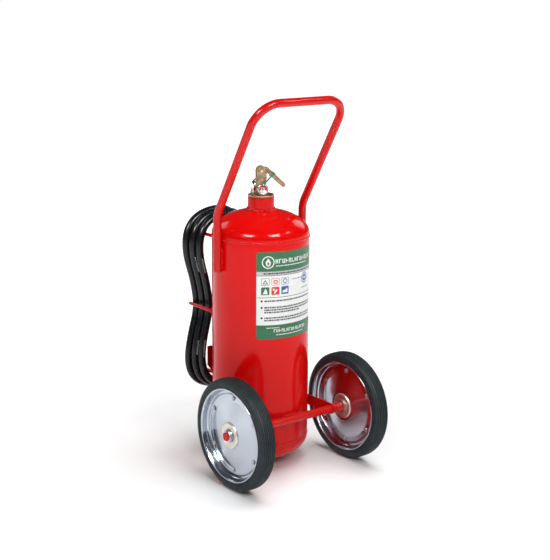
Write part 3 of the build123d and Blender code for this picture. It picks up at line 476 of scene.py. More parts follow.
def finish(name, colour, other=None, drift=(8.0, 0.45, 0.75), gloss=0.3, matt=0.4, grain=200.0,
           bump=0.05, metal=0.0, dust=(0.2, 0.0), rings=0.0, **plain_values):
    """A Principled material whose colour, gloss and relief come from the shared groups."""
    paint = bpy.data.materials.new(name)
    paint.use_nodes = True
    tree = paint.node_tree
    shader = tree.nodes["Principled BSDF"]
    shader.inputs["Metallic"].default_value = metal
    for label, value in plain_values.items():
        shader.inputs[label.replace("_", " ")].default_value = value
    tint = place_group(tree, tint_group, Scale=drift[0], Low=drift[1], High=drift[2])
    tint.inputs["Colour"].default_value = (*colour, 1)
    tint.inputs["Other"].default_value = (*(other or colour), 1)
    coat = place_group(tree, dust_group, Top=dust[0], Amount=dust[1])
    tree.links.new(tint.outputs["Colour"], coat.inputs["Colour"])
    tree.links.new(coat.outputs["Colour"], shader.inputs["Base Color"])
    skin = place_group(tree, grain_group, Scale=grain, Matt=matt, Gloss=gloss)
    rough = maths(tree, "ADD", skin.outputs["Roughness"], maths(tree, "MULTIPLY", coat.outputs["Mask"], 0.4))
    tree.links.new(rough, shader.inputs["Roughness"])
    relief = tree.nodes.new("ShaderNodeBump")
    relief.inputs["Strength"].default_value = bump
    relief.inputs["Distance"].default_value = 0.001
    height = skin.outputs["Height"]
    if rings:
        turned = place_group(tree, groove_group, Rings=rings)
        height = maths(tree, "ADD", maths(tree, "MULTIPLY", height, 0.3), turned.outputs["Height"])
    tree.links.new(height, relief.inputs["Height"])
    tree.links.new(relief.outputs["Normal"], shader.inputs["Normal"])
    return paint


# %% [markdown]
# ## Finishes
# The tank wears thick gloss enamel with a faint orange peel. The frame has the same
# enamel in a darker copy, the darkening being painted shade. The valve is a rough bronze
# casting, the cap is turned brass with some overspray of the red, and the wheel halves
# are spun aluminium. Each gets its own grain and gloss.

# %% Finishes
enamel = finish("red_enamel", (0.60, 0.0018, 0.0012), (0.52, 0.0012, 0.001), drift=(2.0, 0.4, 0.7),
                gloss=0.12, matt=0.18, grain=260.0, bump=0.03, dust=(0.25, 0.06),
                IOR=1.22, Coat_Weight=0.08, Coat_Roughness=0.08)
# The frame is the tank's red enamel made darker: the darkening is painted shade.
frame_enamel = finish("frame_enamel", (0.52, 0.0025, 0.002), (0.44, 0.0015, 0.001), drift=(5.0, 0.4, 0.7),
                      gloss=0.16, matt=0.26, grain=320.0, bump=0.06, dust=(0.3, 0.06),
                      IOR=1.28, Coat_Weight=0.1, Coat_Roughness=0.10)
weld_enamel = finish("weld_enamel", (0.58, 0.002, 0.0015), gloss=0.14, matt=0.24, grain=700.0, bump=0.25,
                     IOR=1.28, Coat_Weight=0.12, Coat_Roughness=0.08)
# A near-black copy of the red enamel for the rack's gussets: painted shadow, the shade they sit in behind the
# tank.
rack_enamel = finish("rack_enamel", (0.20, 0.001, 0.001), (0.13, 0.001, 0.001), gloss=0.2, matt=0.3,
                     grain=400.0, bump=0.08, IOR=1.28)
cast_bronze = finish("cast_bronze", (0.33, 0.235, 0.135), (0.16, 0.115, 0.07), drift=(90.0, 0.35, 0.65),
                     gloss=0.38, matt=0.6, grain=900.0, bump=0.7, metal=0.75)
bright_steel = finish("bright_steel", (0.62, 0.63, 0.65), (0.5, 0.51, 0.53), drift=(60.0, 0.4, 0.7),
                      gloss=0.14, matt=0.26, grain=800.0, bump=0.05, metal=1.0)
dull_steel = finish("zinc_steel", (0.5, 0.5, 0.5), (0.36, 0.36, 0.35), drift=(120.0, 0.4, 0.7),
                    gloss=0.3, matt=0.45, grain=900.0, bump=0.12, metal=1.0)
spun_alloy = finish("spun_alloy", (0.50, 0.54, 0.60), (0.45, 0.49, 0.55), drift=(5.0, 0.35, 0.7),
                    gloss=0.13, matt=0.19, grain=500.0, bump=0.05, metal=1.0, dust=(0.10, 0.1),
                    rings=900.0)
cast_alloy = finish("hub_alloy", (0.72, 0.67, 0.60), (0.62, 0.57, 0.50), drift=(30.0, 0.4, 0.7),
                    gloss=0.3, matt=0.42, grain=900.0, bump=0.2, metal=1.0, rings=900.0)
tyre_rubber = finish("tyre_rubber", (0.012, 0.019, 0.022), (0.020, 0.029, 0.033), drift=(30.0, 0.4, 0.7),
                     gloss=0.46, matt=0.6, grain=900.0, bump=0.2, dust=(0.04, 0.15), IOR=1.3)
hose_rubber = finish("hose_rubber", (0.004, 0.005, 0.007), (0.007, 0.008, 0.010), drift=(40.0, 0.4, 0.7),
                     gloss=0.20, matt=0.30, grain=700.0, bump=0.05, IOR=1.35)
seal_rubber = finish("seal_rubber", (0.02, 0.02, 0.02), gloss=0.5, matt=0.6, grain=600.0, bump=0.2)
black_plastic = finish("moulded_black", (0.012, 0.012, 0.013), (0.02, 0.02, 0.02), gloss=0.34, matt=0.46,
                       grain=1200.0, bump=0.3)
red_plastic = finish("moulded_red", (0.42, 0.008, 0.008), (0.32, 0.005, 0.005), gloss=0.28, matt=0.4,
                     grain=1000.0, bump=0.2)
green_plastic = finish("strap_green", (0.012, 0.20, 0.075), (0.01, 0.15, 0.06), gloss=0.25, matt=0.35,
                       grain=800.0, bump=0.1)
clear_plastic = finish("clear_tie", (0.75, 0.82, 0.78), gloss=0.15, matt=0.25, grain=500.0, bump=0.05,
                       Alpha=0.45)
inner_plastic = finish("dip_plastic", (0.55, 0.55, 0.52), gloss=0.4, matt=0.5)
hose_print = finish("hose_print", (0.60, 0.62, 0.64), (0.25, 0.26, 0.27), drift=(420.0, 0.42, 0.58),
                    gloss=0.4, matt=0.5)

# %% Brass cap with overspray
cap_brass = finish("cap_brass", (0.55, 0.30, 0.13), (0.30, 0.17, 0.09), drift=(110.0, 0.35, 0.7),
                   gloss=0.26, matt=0.42, grain=900.0, bump=0.25, metal=0.9)
cap_tree = cap_brass.node_tree
cap_shader = cap_tree.nodes["Principled BSDF"]
cap_place = cap_tree.nodes.new("ShaderNodeTexCoord")
cap_split = cap_tree.nodes.new("ShaderNodeSeparateXYZ")
cap_tree.links.new(cap_place.outputs["Object"], cap_split.inputs[0])
low_edge = spread(cap_tree, cap_split.outputs["Z"], 0.8345, 0.8385, 0.62, 0.0)
cloud = noise(cap_tree, 130.0, 6.0, 0.7)
spray = spread(cap_tree, maths(cap_tree, "ADD", cloud.outputs["Fac"], low_edge), 0.78, 0.9, 0.0, 1.0)
under = cap_shader.inputs["Base Color"].links[0].from_socket
sprayed = blend_colours(cap_tree, spray, under, (0.45, 0.012, 0.008, 1))
cap_tree.links.new(sprayed, cap_shader.inputs["Base Color"])
cap_tree.links.new(spread(cap_tree, spray, 0.0, 1.0, 0.9, 0.0), cap_shader.inputs["Metallic"])

# %% Gauge glass
gauge_glass = bpy.data.materials.new("gauge_glass")
gauge_glass.use_nodes = True
glass = gauge_glass.node_tree.nodes["Principled BSDF"]
glass.inputs["Base Color"].default_value = (0.95, 0.97, 0.98, 1)
glass.inputs["Roughness"].default_value = 0.03
glass.inputs["Transmission Weight"].default_value = 1.0
glass.inputs["IOR"].default_value = 1.2
smear = noise(gauge_glass.node_tree, 300.0)
glass_bump = gauge_glass.node_tree.nodes.new("ShaderNodeBump")
glass_bump.inputs["Strength"].default_value = 0.01
gauge_glass.node_tree.links.new(smear.outputs["Fac"], glass_bump.inputs["Height"])
gauge_glass.node_tree.links.new(glass_bump.outputs["Normal"], glass.inputs["Normal"])
print("finishes:", len(bpy.data.materials))

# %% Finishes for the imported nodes
node_finish = {
    cast_bronze: ["valve_body", "valve_lever"],
    cap_brass: ["valve_stem", "stem_gland", "spring_retainer"],
    bright_steel: ["outlet_elbow", "coupling_nut", "lever_pin", "left_bearings", "right_bearings"],
    dull_steel: ["stem_spring", "trigger_pin", "left_rim_bolts", "right_rim_bolts"],
    seal_rubber: ["cap_seal", "poppet_washer"],
    inner_plastic: ["dip_tube"],
    gauge_glass: ["gauge_lens"],
    enamel: ["neck_collar"],
    frame_enamel: ["side_plates", "nozzle_holder"],
    black_plastic: ["gauge_needle"],
    green_plastic: ["tamper_seal"],
    red_plastic: ["nozzle_trigger"],
}
for paint, names in node_finish.items():
    for node_name in names:
        nodes[node_name].data.materials.clear()
        nodes[node_name].data.materials.append(paint)
hose.data.materials.append(hose_rubber)
print("nodes with a finish of their own:", sum(len(names) for names in node_finish.values()))

# %% [markdown]
# ## Tank
# A barrel rolled from sheet between two pressed heads. One turned skin shows it: a half
# ellipse at each end, a straight wall, and a shallow dip each side of the two seams,
# where the heat of the weld draws the plate in.

# %% Tank skin
TANK_RADIUS, HEAD_DEPTH = 150.0, 75.0
LOW_CENTRE, HIGH_CENTRE = 79.0, 722.0
SEAMS = (85.0, 716.0)
HEAD_STEPS = 40


def head_points(centre, sense):
    """Half an ellipse from the pole to the barrel."""
    turns = [pi / 2 * k / HEAD_STEPS for k in range(HEAD_STEPS + 1)]
    return [(centre + sense * HEAD_DEPTH * cos(t), TANK_RADIUS * sin(t)) for t in turns]


def drawn_in(z):
    """How far the plate dips beside a seam."""
    return sum(0.7 / (1 + ((z - seam) / 9) ** 4) for seam in SEAMS)


wall_heights = [85 + k * 3.0 for k in range(12)] + [130 + 30 * k for k in range(19)]
wall_heights += [680 + k * 3.0 for k in range(13)]
wall = [(z, TANK_RADIUS - drawn_in(z)) for z in wall_heights]
skin = head_points(LOW_CENTRE, -1) + wall + list(reversed(head_points(HIGH_CENTRE, 1)))
settle("tank_skin", lathe(skin, (0, 0, 0), (0, 0, 1), 192), enamel, "tank",
       ["tank_barrel", "tank_top_head", "tank_bottom_head"])
print("tank skin rings:", len(skin))

# %% Collar and cap
collar_profile = rounded([(777, 33.2), (777, 40.5), (831, 40.5), (832, 39.5), (832, 33.2)], 0.8)
settle("neck_ring", lathe(collar_profile, (0, 0, 0), (0, 0, 1), 96, True), enamel, "tank",
       ["neck_collar"])
cap_profile = rounded(
    [(804.5, 17), (804.5, 33), (834, 33), (834, 39.2), (834.6, 40), (839, 40), (840.5, 38.6), (840.5, 17)],
    [0, 0, 0, 0.4, 0.4, 1.2, 0.8, 0])
settle("screwed_cap", lathe(cap_profile, (0, 0, 0), (0, 0, 1), 96, True), cap_brass, "tank",
       ["valve_cap"])

# %% [markdown]
# ## Weld ripples
# A weld is a row of overlapping puddles. Geometry Nodes set one small squashed ball at
# every point of a circle, turned to face outwards, each a little larger or smaller. The
# same tree serves both seams and the collar's foot.


# %% The weld tree
def geometry_tree(name, inputs):
    """An empty Geometry Nodes tree with named inputs: (name, kind, default)."""
    tree = bpy.data.node_groups.new(name, "GeometryNodeTree")
    for label, kind, value in inputs:
        socket = tree.interface.new_socket(label, in_out="INPUT", socket_type=kind)
        if value is not None:
            socket.default_value = value
    tree.interface.new_socket("Geometry", in_out="OUTPUT", socket_type="NodeSocketGeometry")
    return tree, tree.nodes.new("NodeGroupInput"), tree.nodes.new("NodeGroupOutput")


def wire(tree, *pairs):
    """Link outputs to inputs."""
    for source, target in pairs:
        tree.links.new(source, target)


weld_tree, w_in, w_out = geometry_tree("weld_ripples", [
    ("Ring Radius", "NodeSocketFloat", 0.15), ("Ring Height", "NodeSocketFloat", 0.7),
    ("Ripples", "NodeSocketInt", 200), ("Ripple Size", "NodeSocketVector", (0.001, 0.002, 0.003)),
    ("Seed", "NodeSocketInt", 1), ("Finish", "NodeSocketMaterial", None)])
w = weld_tree.nodes
circle = w.new("GeometryNodeMeshCircle")
lift = w.new("GeometryNodeTransform")
lift_by = w.new("ShaderNodeCombineXYZ")
puddle = w.new("GeometryNodeMeshIcoSphere")
puddle.inputs["Subdivisions"].default_value = 2
puddle.inputs["Radius"].default_value = 1.0
where = w.new("GeometryNodeInputPosition")
flat = w.new("ShaderNodeVectorMath")
flat.operation = "MULTIPLY"
flat.inputs[1].default_value = (1, 1, 0)
face_out = w.new("FunctionNodeAlignRotationToVector")
face_out.axis = "X"
face_out.pivot_axis = "Z"
uneven = w.new("FunctionNodeRandomValue")
uneven.inputs[2].default_value = 0.8
uneven.inputs[3].default_value = 1.25
sized = w.new("ShaderNodeVectorMath")
sized.operation = "SCALE"
spots = w.new("GeometryNodeInstanceOnPoints")
real = w.new("GeometryNodeRealizeInstances")
soft = w.new("GeometryNodeSetShadeSmooth")
painted = w.new("GeometryNodeSetMaterial")
wire(weld_tree,
     (w_in.outputs["Ripples"], circle.inputs["Vertices"]),
     (w_in.outputs["Ring Radius"], circle.inputs["Radius"]),
     (circle.outputs[0], lift.inputs["Geometry"]), (w_in.outputs["Ring Height"], lift_by.inputs[2]),
     (lift_by.outputs[0], lift.inputs["Translation"]), (lift.outputs[0], spots.inputs["Points"]),
     (puddle.outputs[0], spots.inputs["Instance"]), (where.outputs[0], flat.inputs[0]),
     (flat.outputs[0], face_out.inputs["Vector"]), (face_out.outputs[0], spots.inputs["Rotation"]),
     (w_in.outputs["Seed"], uneven.inputs["Seed"]), (w_in.outputs["Ripple Size"], sized.inputs[0]),
     (uneven.outputs[1], sized.inputs["Scale"]), (sized.outputs[0], spots.inputs["Scale"]),
     (spots.outputs[0], real.inputs[0]), (real.outputs[0], soft.inputs[0]),
     (soft.outputs[0], painted.inputs[0]),
     (w_in.outputs["Finish"], painted.inputs["Material"]), (painted.outputs[0], w_out.inputs[0]))


# %% Running a tree
def grown(tree, **values):
    """Run a tree with its inputs set by identifier, and give the plain mesh."""
    carrier = bpy.data.objects.new("carrier", bpy.data.meshes.new("carrier"))
    bpy.context.scene.collection.objects.link(carrier)
    modifier = carrier.modifiers.new("grow", "NODES")
    modifier.node_group = tree
    for item in tree.interface.items_tree:
        if item.item_type == "SOCKET" and item.in_out == "INPUT":
            label = item.name.replace(" ", "_")
            if label in values:
                modifier[item.identifier] = values[label]
    mesh = plain(carrier)
    bpy.data.objects.remove(carrier)
    return mesh


def merged(meshes, name):
    """Several plain meshes as one."""
    whole = bmesh.new()
    for mesh in meshes:
        whole.from_mesh(mesh)
        bpy.data.meshes.remove(mesh)
    mesh = bpy.data.meshes.new(name)
    whole.to_mesh(mesh)
    whole.free()
    return mesh


ripple_rings = [
    grown(weld_tree, Ring_Radius=0.1496, Ring_Height=0.085, Ripples=230, Seed=1,
          Ripple_Size=(0.0013, 0.0030, 0.0036), Finish=weld_enamel),
    grown(weld_tree, Ring_Radius=0.1496, Ring_Height=0.716, Ripples=230, Seed=2,
          Ripple_Size=(0.0013, 0.0030, 0.0036), Finish=weld_enamel),
    grown(weld_tree, Ring_Radius=0.0420, Ring_Height=0.7945, Ripples=58, Seed=3,
          Ripple_Size=(0.0042, 0.0032, 0.0040), Finish=weld_enamel),
    grown(weld_tree, Ring_Radius=0.0405, Ring_Height=0.7990, Ripples=52, Seed=4,
          Ripple_Size=(0.0022, 0.0030, 0.0036), Finish=weld_enamel),
]
welds = settle("weld_ripples", merged(ripple_rings, "weld_ripples"), weld_enamel, "tank",
               ["weld_beads"], sharp=80)
print("weld ripples:", len(welds.data.polygons), "faces")

# %% [markdown]
# ## Handle, axle and brackets
# The handle is one tube bent four times, open at its lower ends and welded to the
# barrel. The axle is a plain bar across the front of the tank, held by two side plates.

# %% Handle
HANDLE_X, HANDLE_BEND, HANDLE_TOP = 162.6, 794.0, 1133.48
HANDLE_TOP_Y = -199.97
handle_line = rounded([
    (-HANDLE_X, 0, 622), (-HANDLE_X, 0, HANDLE_BEND), (-HANDLE_X, HANDLE_TOP_Y, HANDLE_TOP),
    (HANDLE_X, HANDLE_TOP_Y, HANDLE_TOP), (HANDLE_X, 0, HANDLE_BEND), (HANDLE_X, 0, 622),
], [0, 70, 74, 74, 70, 0], 16, closed=False)
settle("bent_handle", tube(handle_line, 12.5, 10.5, 40), frame_enamel, "tank", ["handle_tube"])


# %% Short welds along a line
def weld_run(start, end, size, gap=2.6):
    """Ripples in a straight row, as where a tube meets the barrel."""
    start, end = Vector(start), Vector(end)
    count = max(2, int((end - start).length / gap))
    whole = bmesh.new()
    for k in range(count + 1):
        place = start.lerp(end, k / count)
        swell = 1 + 0.18 * sin(k * 2.4) + 0.1 * sin(k * 5.1)
        shape = Matrix.Translation(place * MM) @ Matrix.Diagonal((*(Vector(size) * MM * swell), 1))
        bmesh.ops.create_icosphere(whole, subdivisions=2, radius=1, matrix=shape)
    return whole


handle_welds = []
for side in (-1, 1):
    for edge in (-1, 1):
        foot = (side * 150.6, edge * 5.6, 0)
        low, high = Vector(foot) + Vector((0, 0, 630)), Vector(foot) + Vector((0, 0, 688))
        handle_welds.append(weld_run(low, high, (3.4, 2.6, 2.6)))
for side in (-1, 1):
    handle_welds.append(weld_run((side * 2, -151.6, 179.5), (side * 24, -151.6, 179.5), (2.6, 3.4, 2.8)))
    handle_welds.append(weld_run((side * 150.8, -24, 184), (side * 150.8, 10, 184), (3.0, 2.6, 2.4)))
settle("bracket_welds", joined(*handle_welds), weld_enamel, "tank", sharp=80)

# %% Axle, sleeves, washers and rings
X_WAY = (1, 0, 0)
AXLE_SPOT = (0, AXLE_Y * 1000, AXLE_Z * 1000)
axle_profile = rounded([(-257, 0), (-257, 11), (-255.5, 12.5), (255.5, 12.5), (257, 11), (257, 0)],
                       0.8, closed=False)
settle("axle", lathe(axle_profile, AXLE_SPOT, X_WAY, 64), frame_enamel, "tank", ["axle_bar"])


def rings_on_axle(spans, outer, inner, soft):
    """Rings at distances along the axle, the same on both sides."""
    parts = []
    for side in (-1, 1):
        for low, high in spans:
            corners = [(low, inner), (low, outer), (high, outer), (high, inner)]
            profile = rounded(corners, [0.2, soft, soft, 0.2])
            parts.append(lathe(profile, AXLE_SPOT, (side, 0, 0), 64, True))
    return joined(*parts)


settle("axle_tubes", rings_on_axle([(155.2, 192.5)], 14.6, 12.6, 0.8), frame_enamel, "tank",
       ["axle_sleeves"])
settle("plain_washers", rings_on_axle([(192.7, 195.7), (242.3, 245.3)], 20, 12.6, 0.6), dull_steel, "tank",
       ["axle_washers"])
settle("set_rings", rings_on_axle([(245.6, 251.0)], 18, 12.6, 1.0), bright_steel, "tank",
       ["stop_rings"])

# %% Split pins
split_pins = []
for side in (-1, 1):
    x, y, z = side * 252.9, AXLE_SPOT[1], AXLE_SPOT[2]
    for leg in (-0.75, 0.75):
        leg_line = [(x + leg, y, z + 15), (x + leg, y, z - 13.5), (x + leg * 6, y, z - 17)]
        bent = rounded(leg_line, 2.0, 4, False)
        split_pins.append(tube(bent, 0.75, sides=10, tip=0.4))
    eye = [(x, y + 2.1 * sin(t), z + 16.3 + 2.1 * cos(t) * -1) for t in [pi / 8 * k for k in range(16)]]
    split_pins.append(tube(eye + [eye[0]], 0.75, sides=10))
settle("split_pins", joined(*split_pins), dull_steel, "tank", ["cotter_pins"])

# %% Rods of the hose rack
ROD = 5.5
peg_rods = []
for side in (-1, 1):
    for z, tip_z in ((694, 718), (250, 226)):
        line = rounded([(side * 72, 131, z), (side * 72, 258, z), (side * 72, 258, tip_z)], 9, 8, False)
        peg_rods.append(tube(line, ROD, sides=24, tip=1.6))
settle("hooked_rods", joined(*peg_rods), frame_enamel, "tank", ["rack_pegs"])
side_rods = [tube([(s * 106, 105, 467), (s * 106, 160, 467), (s * 106, 232, 467)], ROD, sides=24, tip=1.6)
             for s in (-1, 1)]
settle("waist_rods", joined(*side_rods), frame_enamel, "tank", ["rack_retainers"])

# %% Rack plates and their welds
rack_plates, rack_welds = [], []
upper_strap = [(66, 650.5), (78, 650.5), (78, 688.4), (66, 688.4)]
lower_strap = [(66, 255.6), (78, 255.6), (97, 279.6), (97, 341.6), (81, 341.6), (66, 291.6)]
for outline in (upper_strap, lower_strap):
    for side in (-1, 1):
        rack_plates.append(plate(rounded(outline, 2.5), (0, 148, 0), (side, 0, 0), (0, 0, 1), 4, 0.5))
# The gussets wear the near-black red, a painted shadow.
settle("rack_straps", joined(*rack_plates), rack_enamel, "tank", ["rack_gussets"])
for x, y, z in ((72, 133.5, 694), (72, 133.5, 250), (106, 108, 467)):
    for side in (-1, 1):
        for k in range(12):
            turn = 2 * pi * k / 12
            spot = (side * x + 6.2 * cos(turn), y - 3.2 * cos(turn) * (x / 90), z + 6.2 * sin(turn))
            rack_welds.append(weld_run(spot, Vector(spot) + Vector((0, 1, 0)), (2.0, 2.4, 2.0), 1.0))
settle("rack_welds", joined(*rack_welds), weld_enamel, "tank", sharp=80)

# %% Rear foot
foot = bmesh.new()
foot_profile = rounded([(112, 0), (130, 0), (130, 4), (116.4, 4), (116, 31), (112, 29)], 0.7)
foot_steps = 48
foot_rings = []
for k in range(foot_steps + 1):
    turn = radians(45 + 90 * k / foot_steps)
    places = [Vector((r * cos(turn), r * sin(turn), z)) * MM for r, z in foot_profile]
    foot_rings.append([foot.verts.new(place) for place in places])
for near, far in zip(foot_rings, foot_rings[1:]):
    for i in range(len(near)):
        j = (i + 1) % len(near)
        foot.faces.new([near[i], near[j], far[j], far[i]])
foot.faces.new(foot_rings[0])
foot.faces.new(foot_rings[-1])
bmesh.ops.recalc_face_normals(foot, faces=foot.faces)
settle("curved_foot", foot, frame_enamel, "tank", ["rear_foot"])

# %% [markdown]
# ## Wheels
# Each wheel is two spun aluminium halves bolted together round a solid rubber tyre. The
# profiles are turned about the axle. The tyre's crown follows one smooth rule, and narrow
# grooves are cut into it at even steps.

# %% Wheel profiles
WHEEL_X = 219.0
TYRE_HALF, CROWN_BASE, CROWN_RISE = 26.0, 150.0, 19.0
GROOVES = [-19.5, -13, -6.5, 0, 6.5, 13, 19.5]


def crown(a):
    """The tyre's radius at a distance from its middle plane, grooves cut in."""
    smooth = CROWN_BASE + CROWN_RISE * sqrt(max(0.0, 1 - (abs(a) / TYRE_HALF) ** 5))
    nearest = min(abs(a - groove) for groove in GROOVES)
    return smooth - 2.4 * max(0.0, 1 - (nearest / 1.4) ** 4)


wall_profile = [(22.8, 139.7), (22.8, 142.0), (25.2, 142.4), (25.8, 143.4), (25.8, 146.0), (25.1, 146.8),
                (25.1, 147.9), (26.0, 149.0)]
crown_steps = [-25.9 + 51.8 * k / 208 for k in range(209)]
crown_line = [(a, crown(a)) for a in crown_steps]
tyre_profile = [(-a, r) for a, r in wall_profile] + crown_line + list(reversed(wall_profile))
half_profile = rounded(
    [(25.7, 141.4), (25.7, 137.9), (23.5, 135.9), (8, 134.5), (4, 131.5), (4, 124.2), (7.4, 121.6),
     (6.6, 117.5), (7, 104), (20, 47), (20, 39.2), (16.5, 39.2), (16.5, 47), (2.6, 98), (0.1, 104), (0.1, 139.2),
     (23.2, 139.2), (23.2, 141.4)],
    [1.2, 1.8, 2.0, 6.0, 3.0, 2.4, 1.2, 2.0, 9.0, 5.0, 0.4, 0.2, 2.0, 3.0, 1.0, 0.4, 1.0, 0.6], 5)
hub_side = [(14, 19), (14, 21), (23, 21), (23, 37.5), (21.5, 39), (16.3, 39), (16.3, 45), (12.3, 45),
            (7.3, 30)]
hub_profile = rounded([(-a, r) for a, r in hub_side] + [(a, r) for a, r in reversed(hub_side)], 0.6, 3)
bearing_profiles = []
for low, high in ((-22.9, -14.1), (14.1, 22.9)):
    bearing_profiles.append([(low, 12.7), (low, 15.5), (low + 0.8, 15.9), (low + 0.8, 18.2), (low, 18.6),
                             (low, 20.9), (high, 20.9), (high, 18.6), (high - 0.8, 18.2), (high - 0.8, 15.9),
                             (high, 15.5), (high, 12.7)])
print("tyre profile:", len(tyre_profile), "points")

# %% [markdown]
# ## Rim bolts
# Six small bolts hold the halves together. A second tree sets a hexagon head and its
# washer at even steps on a circle round the axle.

# %% The bolt tree
bolt_tree, b_in, b_out = geometry_tree("bolt_circle", [
    ("Circle Radius", "NodeSocketFloat", 0.112), ("Bolts", "NodeSocketInt", 6),
    ("Head Radius", "NodeSocketFloat", 0.0057), ("Head Height", "NodeSocketFloat", 0.004),
    ("Washer Radius", "NodeSocketFloat", 0.0072), ("Washer Height", "NodeSocketFloat", 0.001),
    ("Place", "NodeSocketVector", (0, 0, 0)), ("Finish", "NodeSocketMaterial", None)])
b = bolt_tree.nodes
bolt_spots = b.new("GeometryNodeMeshCircle")
head = b.new("GeometryNodeMeshCylinder")
head.inputs["Vertices"].default_value = 6
washer = b.new("GeometryNodeMeshCylinder")
washer.inputs["Vertices"].default_value = 28
stack = b.new("GeometryNodeJoinGeometry")
bolts_set = b.new("GeometryNodeInstanceOnPoints")
bolts_real = b.new("GeometryNodeRealizeInstances")
turn_over = b.new("GeometryNodeTransform")
turn_over.inputs["Rotation"].default_value = (0, pi / 2, 0)
carry = b.new("GeometryNodeTransform")
bolt_paint = b.new("GeometryNodeSetMaterial")
wire(bolt_tree,
     (b_in.outputs["Bolts"], bolt_spots.inputs["Vertices"]),
     (b_in.outputs["Circle Radius"], bolt_spots.inputs["Radius"]),
     (b_in.outputs["Head Radius"], head.inputs["Radius"]),
     (b_in.outputs["Head Height"], head.inputs["Depth"]),
     (b_in.outputs["Washer Radius"], washer.inputs["Radius"]),
     (b_in.outputs["Washer Height"], washer.inputs["Depth"]),
     (head.outputs[0], stack.inputs[0]), (washer.outputs[0], stack.inputs[0]),
     (bolt_spots.outputs[0], bolts_set.inputs["Points"]), (stack.outputs[0], bolts_set.inputs["Instance"]),
     (bolts_set.outputs[0], bolts_real.inputs[0]), (bolts_real.outputs[0], turn_over.inputs["Geometry"]),
     (turn_over.outputs[0], carry.inputs["Geometry"]), (b_in.outputs["Place"], carry.inputs["Translation"]),
     (carry.outputs[0], bolt_paint.inputs[0]), (b_in.outputs["Finish"], bolt_paint.inputs["Material"]),
     (bolt_paint.outputs[0], b_out.inputs[0]))

# %% Both wheels
for side, side_name in ((-1, "left"), (1, "right")):
    body = f"{side_name}_wheel"
    centre = (side * WHEEL_X, AXLE_SPOT[1], AXLE_SPOT[2])
    out = (side, 0, 0)
    settle(f"{side_name}_tread", lathe(tyre_profile, centre, out, 192, True), tyre_rubber, body,
           [f"{side_name}_tyre"], sharp=50)
    settle(f"{side_name}_outer_dish", lathe(half_profile, centre, out, 160, True), spun_alloy, body,
           [f"{side_name}_rim_outer"])
    settle(f"{side_name}_inner_dish", lathe(half_profile, centre, (-side, 0, 0), 160, True), spun_alloy, body,
           [f"{side_name}_rim_inner"])
    settle(f"{side_name}_boss", lathe(hub_profile, centre, out, 96, True), cast_alloy, body,
           [f"{side_name}_hub"])
    settle(f"{side_name}_ball_races", joined(*(lathe(p, centre, out, 64, True) for p in bearing_profiles)),
           bright_steel, body, [f"{side_name}_bearings"])
    heads = []
    for a in (8.7, -8.7):
        spot = Vector((side * (WHEEL_X + a), AXLE_SPOT[1], AXLE_SPOT[2])) * MM
        heads.append(grown(bolt_tree, Place=tuple(spot), Finish=dull_steel, Head_Height=0.0034))
    settle(f"{side_name}_bolts", merged(heads, "bolts"), dull_steel, body,
           [f"{side_name}_rim_bolts"])

# %% [markdown]
# ## Valve
# The body and lever stay as packed, under a rough cast finish. What is turned or bent
# from wire is made here: the gauge with its dial, the ferrule with its crimped rings,
# the locking pin and its pull ring.

# %% Valve directions
LEVER_WAY = Vector((cos(radians(-25)), sin(radians(-25)), 0))
OUTLET_WAY = Vector((-LEVER_WAY.y, LEVER_WAY.x, 0))
GAUGE_Z = 858.5


def valve_place(u, v, z):
    """A point from its distances along the lever and the outlet."""
    return LEVER_WAY * u + OUTLET_WAY * v + Vector((0, 0, z))


# %% Gauge case
case_profile = rounded(
    [(11, 4.7), (22, 4.7), (22, 12), (22.4, 15.5), (24.0, 16.5), (31.0, 16.5), (32.0, 15.2), (31.6, 14.6),
     (30.6, 15.1), (23.4, 15.1), (23.4, 0)],
    [0, 0, 1, 2, 1, 0.8, 0.5, 0.3, 0.3, 0, 0], 4, False)
case_profile = [Vector((11, 0))] + case_profile
settle("gauge_shell", lathe(case_profile, valve_place(0, 0, GAUGE_Z), -OUTLET_WAY, 64), bright_steel, "tank",
       ["gauge_case"])

# %% Gauge dial: coloured fields and ticks on a white plate
def flat_paint(name, colour, gloss=0.35):
    """A printed colour."""
    return finish(name, colour, tuple(v * 0.9 for v in colour), drift=(60.0, 0.4, 0.7), gloss=gloss,
                  matt=gloss + 0.1, grain=600.0, bump=0.02)


print_white = flat_paint("print_white", (0.70, 0.71, 0.70))
print_red = flat_paint("print_red", (0.62, 0.010, 0.012))
print_green = flat_paint("print_green", (0.010, 0.125, 0.045))
print_blue = flat_paint("print_blue", (0.012, 0.065, 0.32))
print_black = flat_paint("print_black", (0.02, 0.02, 0.022))
print_grey = flat_paint("print_grey", (0.42, 0.43, 0.44))
PRINTS = [print_white, print_red, print_green, print_blue, print_black, print_grey]
WHITE, RED, GREEN, BLUE, BLACK, GREY = range(6)
DIAL_V = -24.15


def dial_patch(bm, inner, outer, start, end, lift, print_index):
    """A sector of a ring on the dial, with angles from straight up."""
    count = max(2, int(abs(end - start) / 6) + 1)
    edge_in, edge_out = [], []
    for k in range(count + 1):
        turn = radians(start + (end - start) * k / count)
        for radius, edge in ((inner, edge_in), (outer, edge_out)):
            place = valve_place(radius * sin(turn), DIAL_V - lift, GAUGE_Z + radius * cos(turn))
            edge.append(bm.verts.new(place * MM))
    for k in range(count):
        patch = bm.faces.new([edge_in[k], edge_out[k], edge_out[k + 1], edge_in[k + 1]])
        patch.material_index = print_index


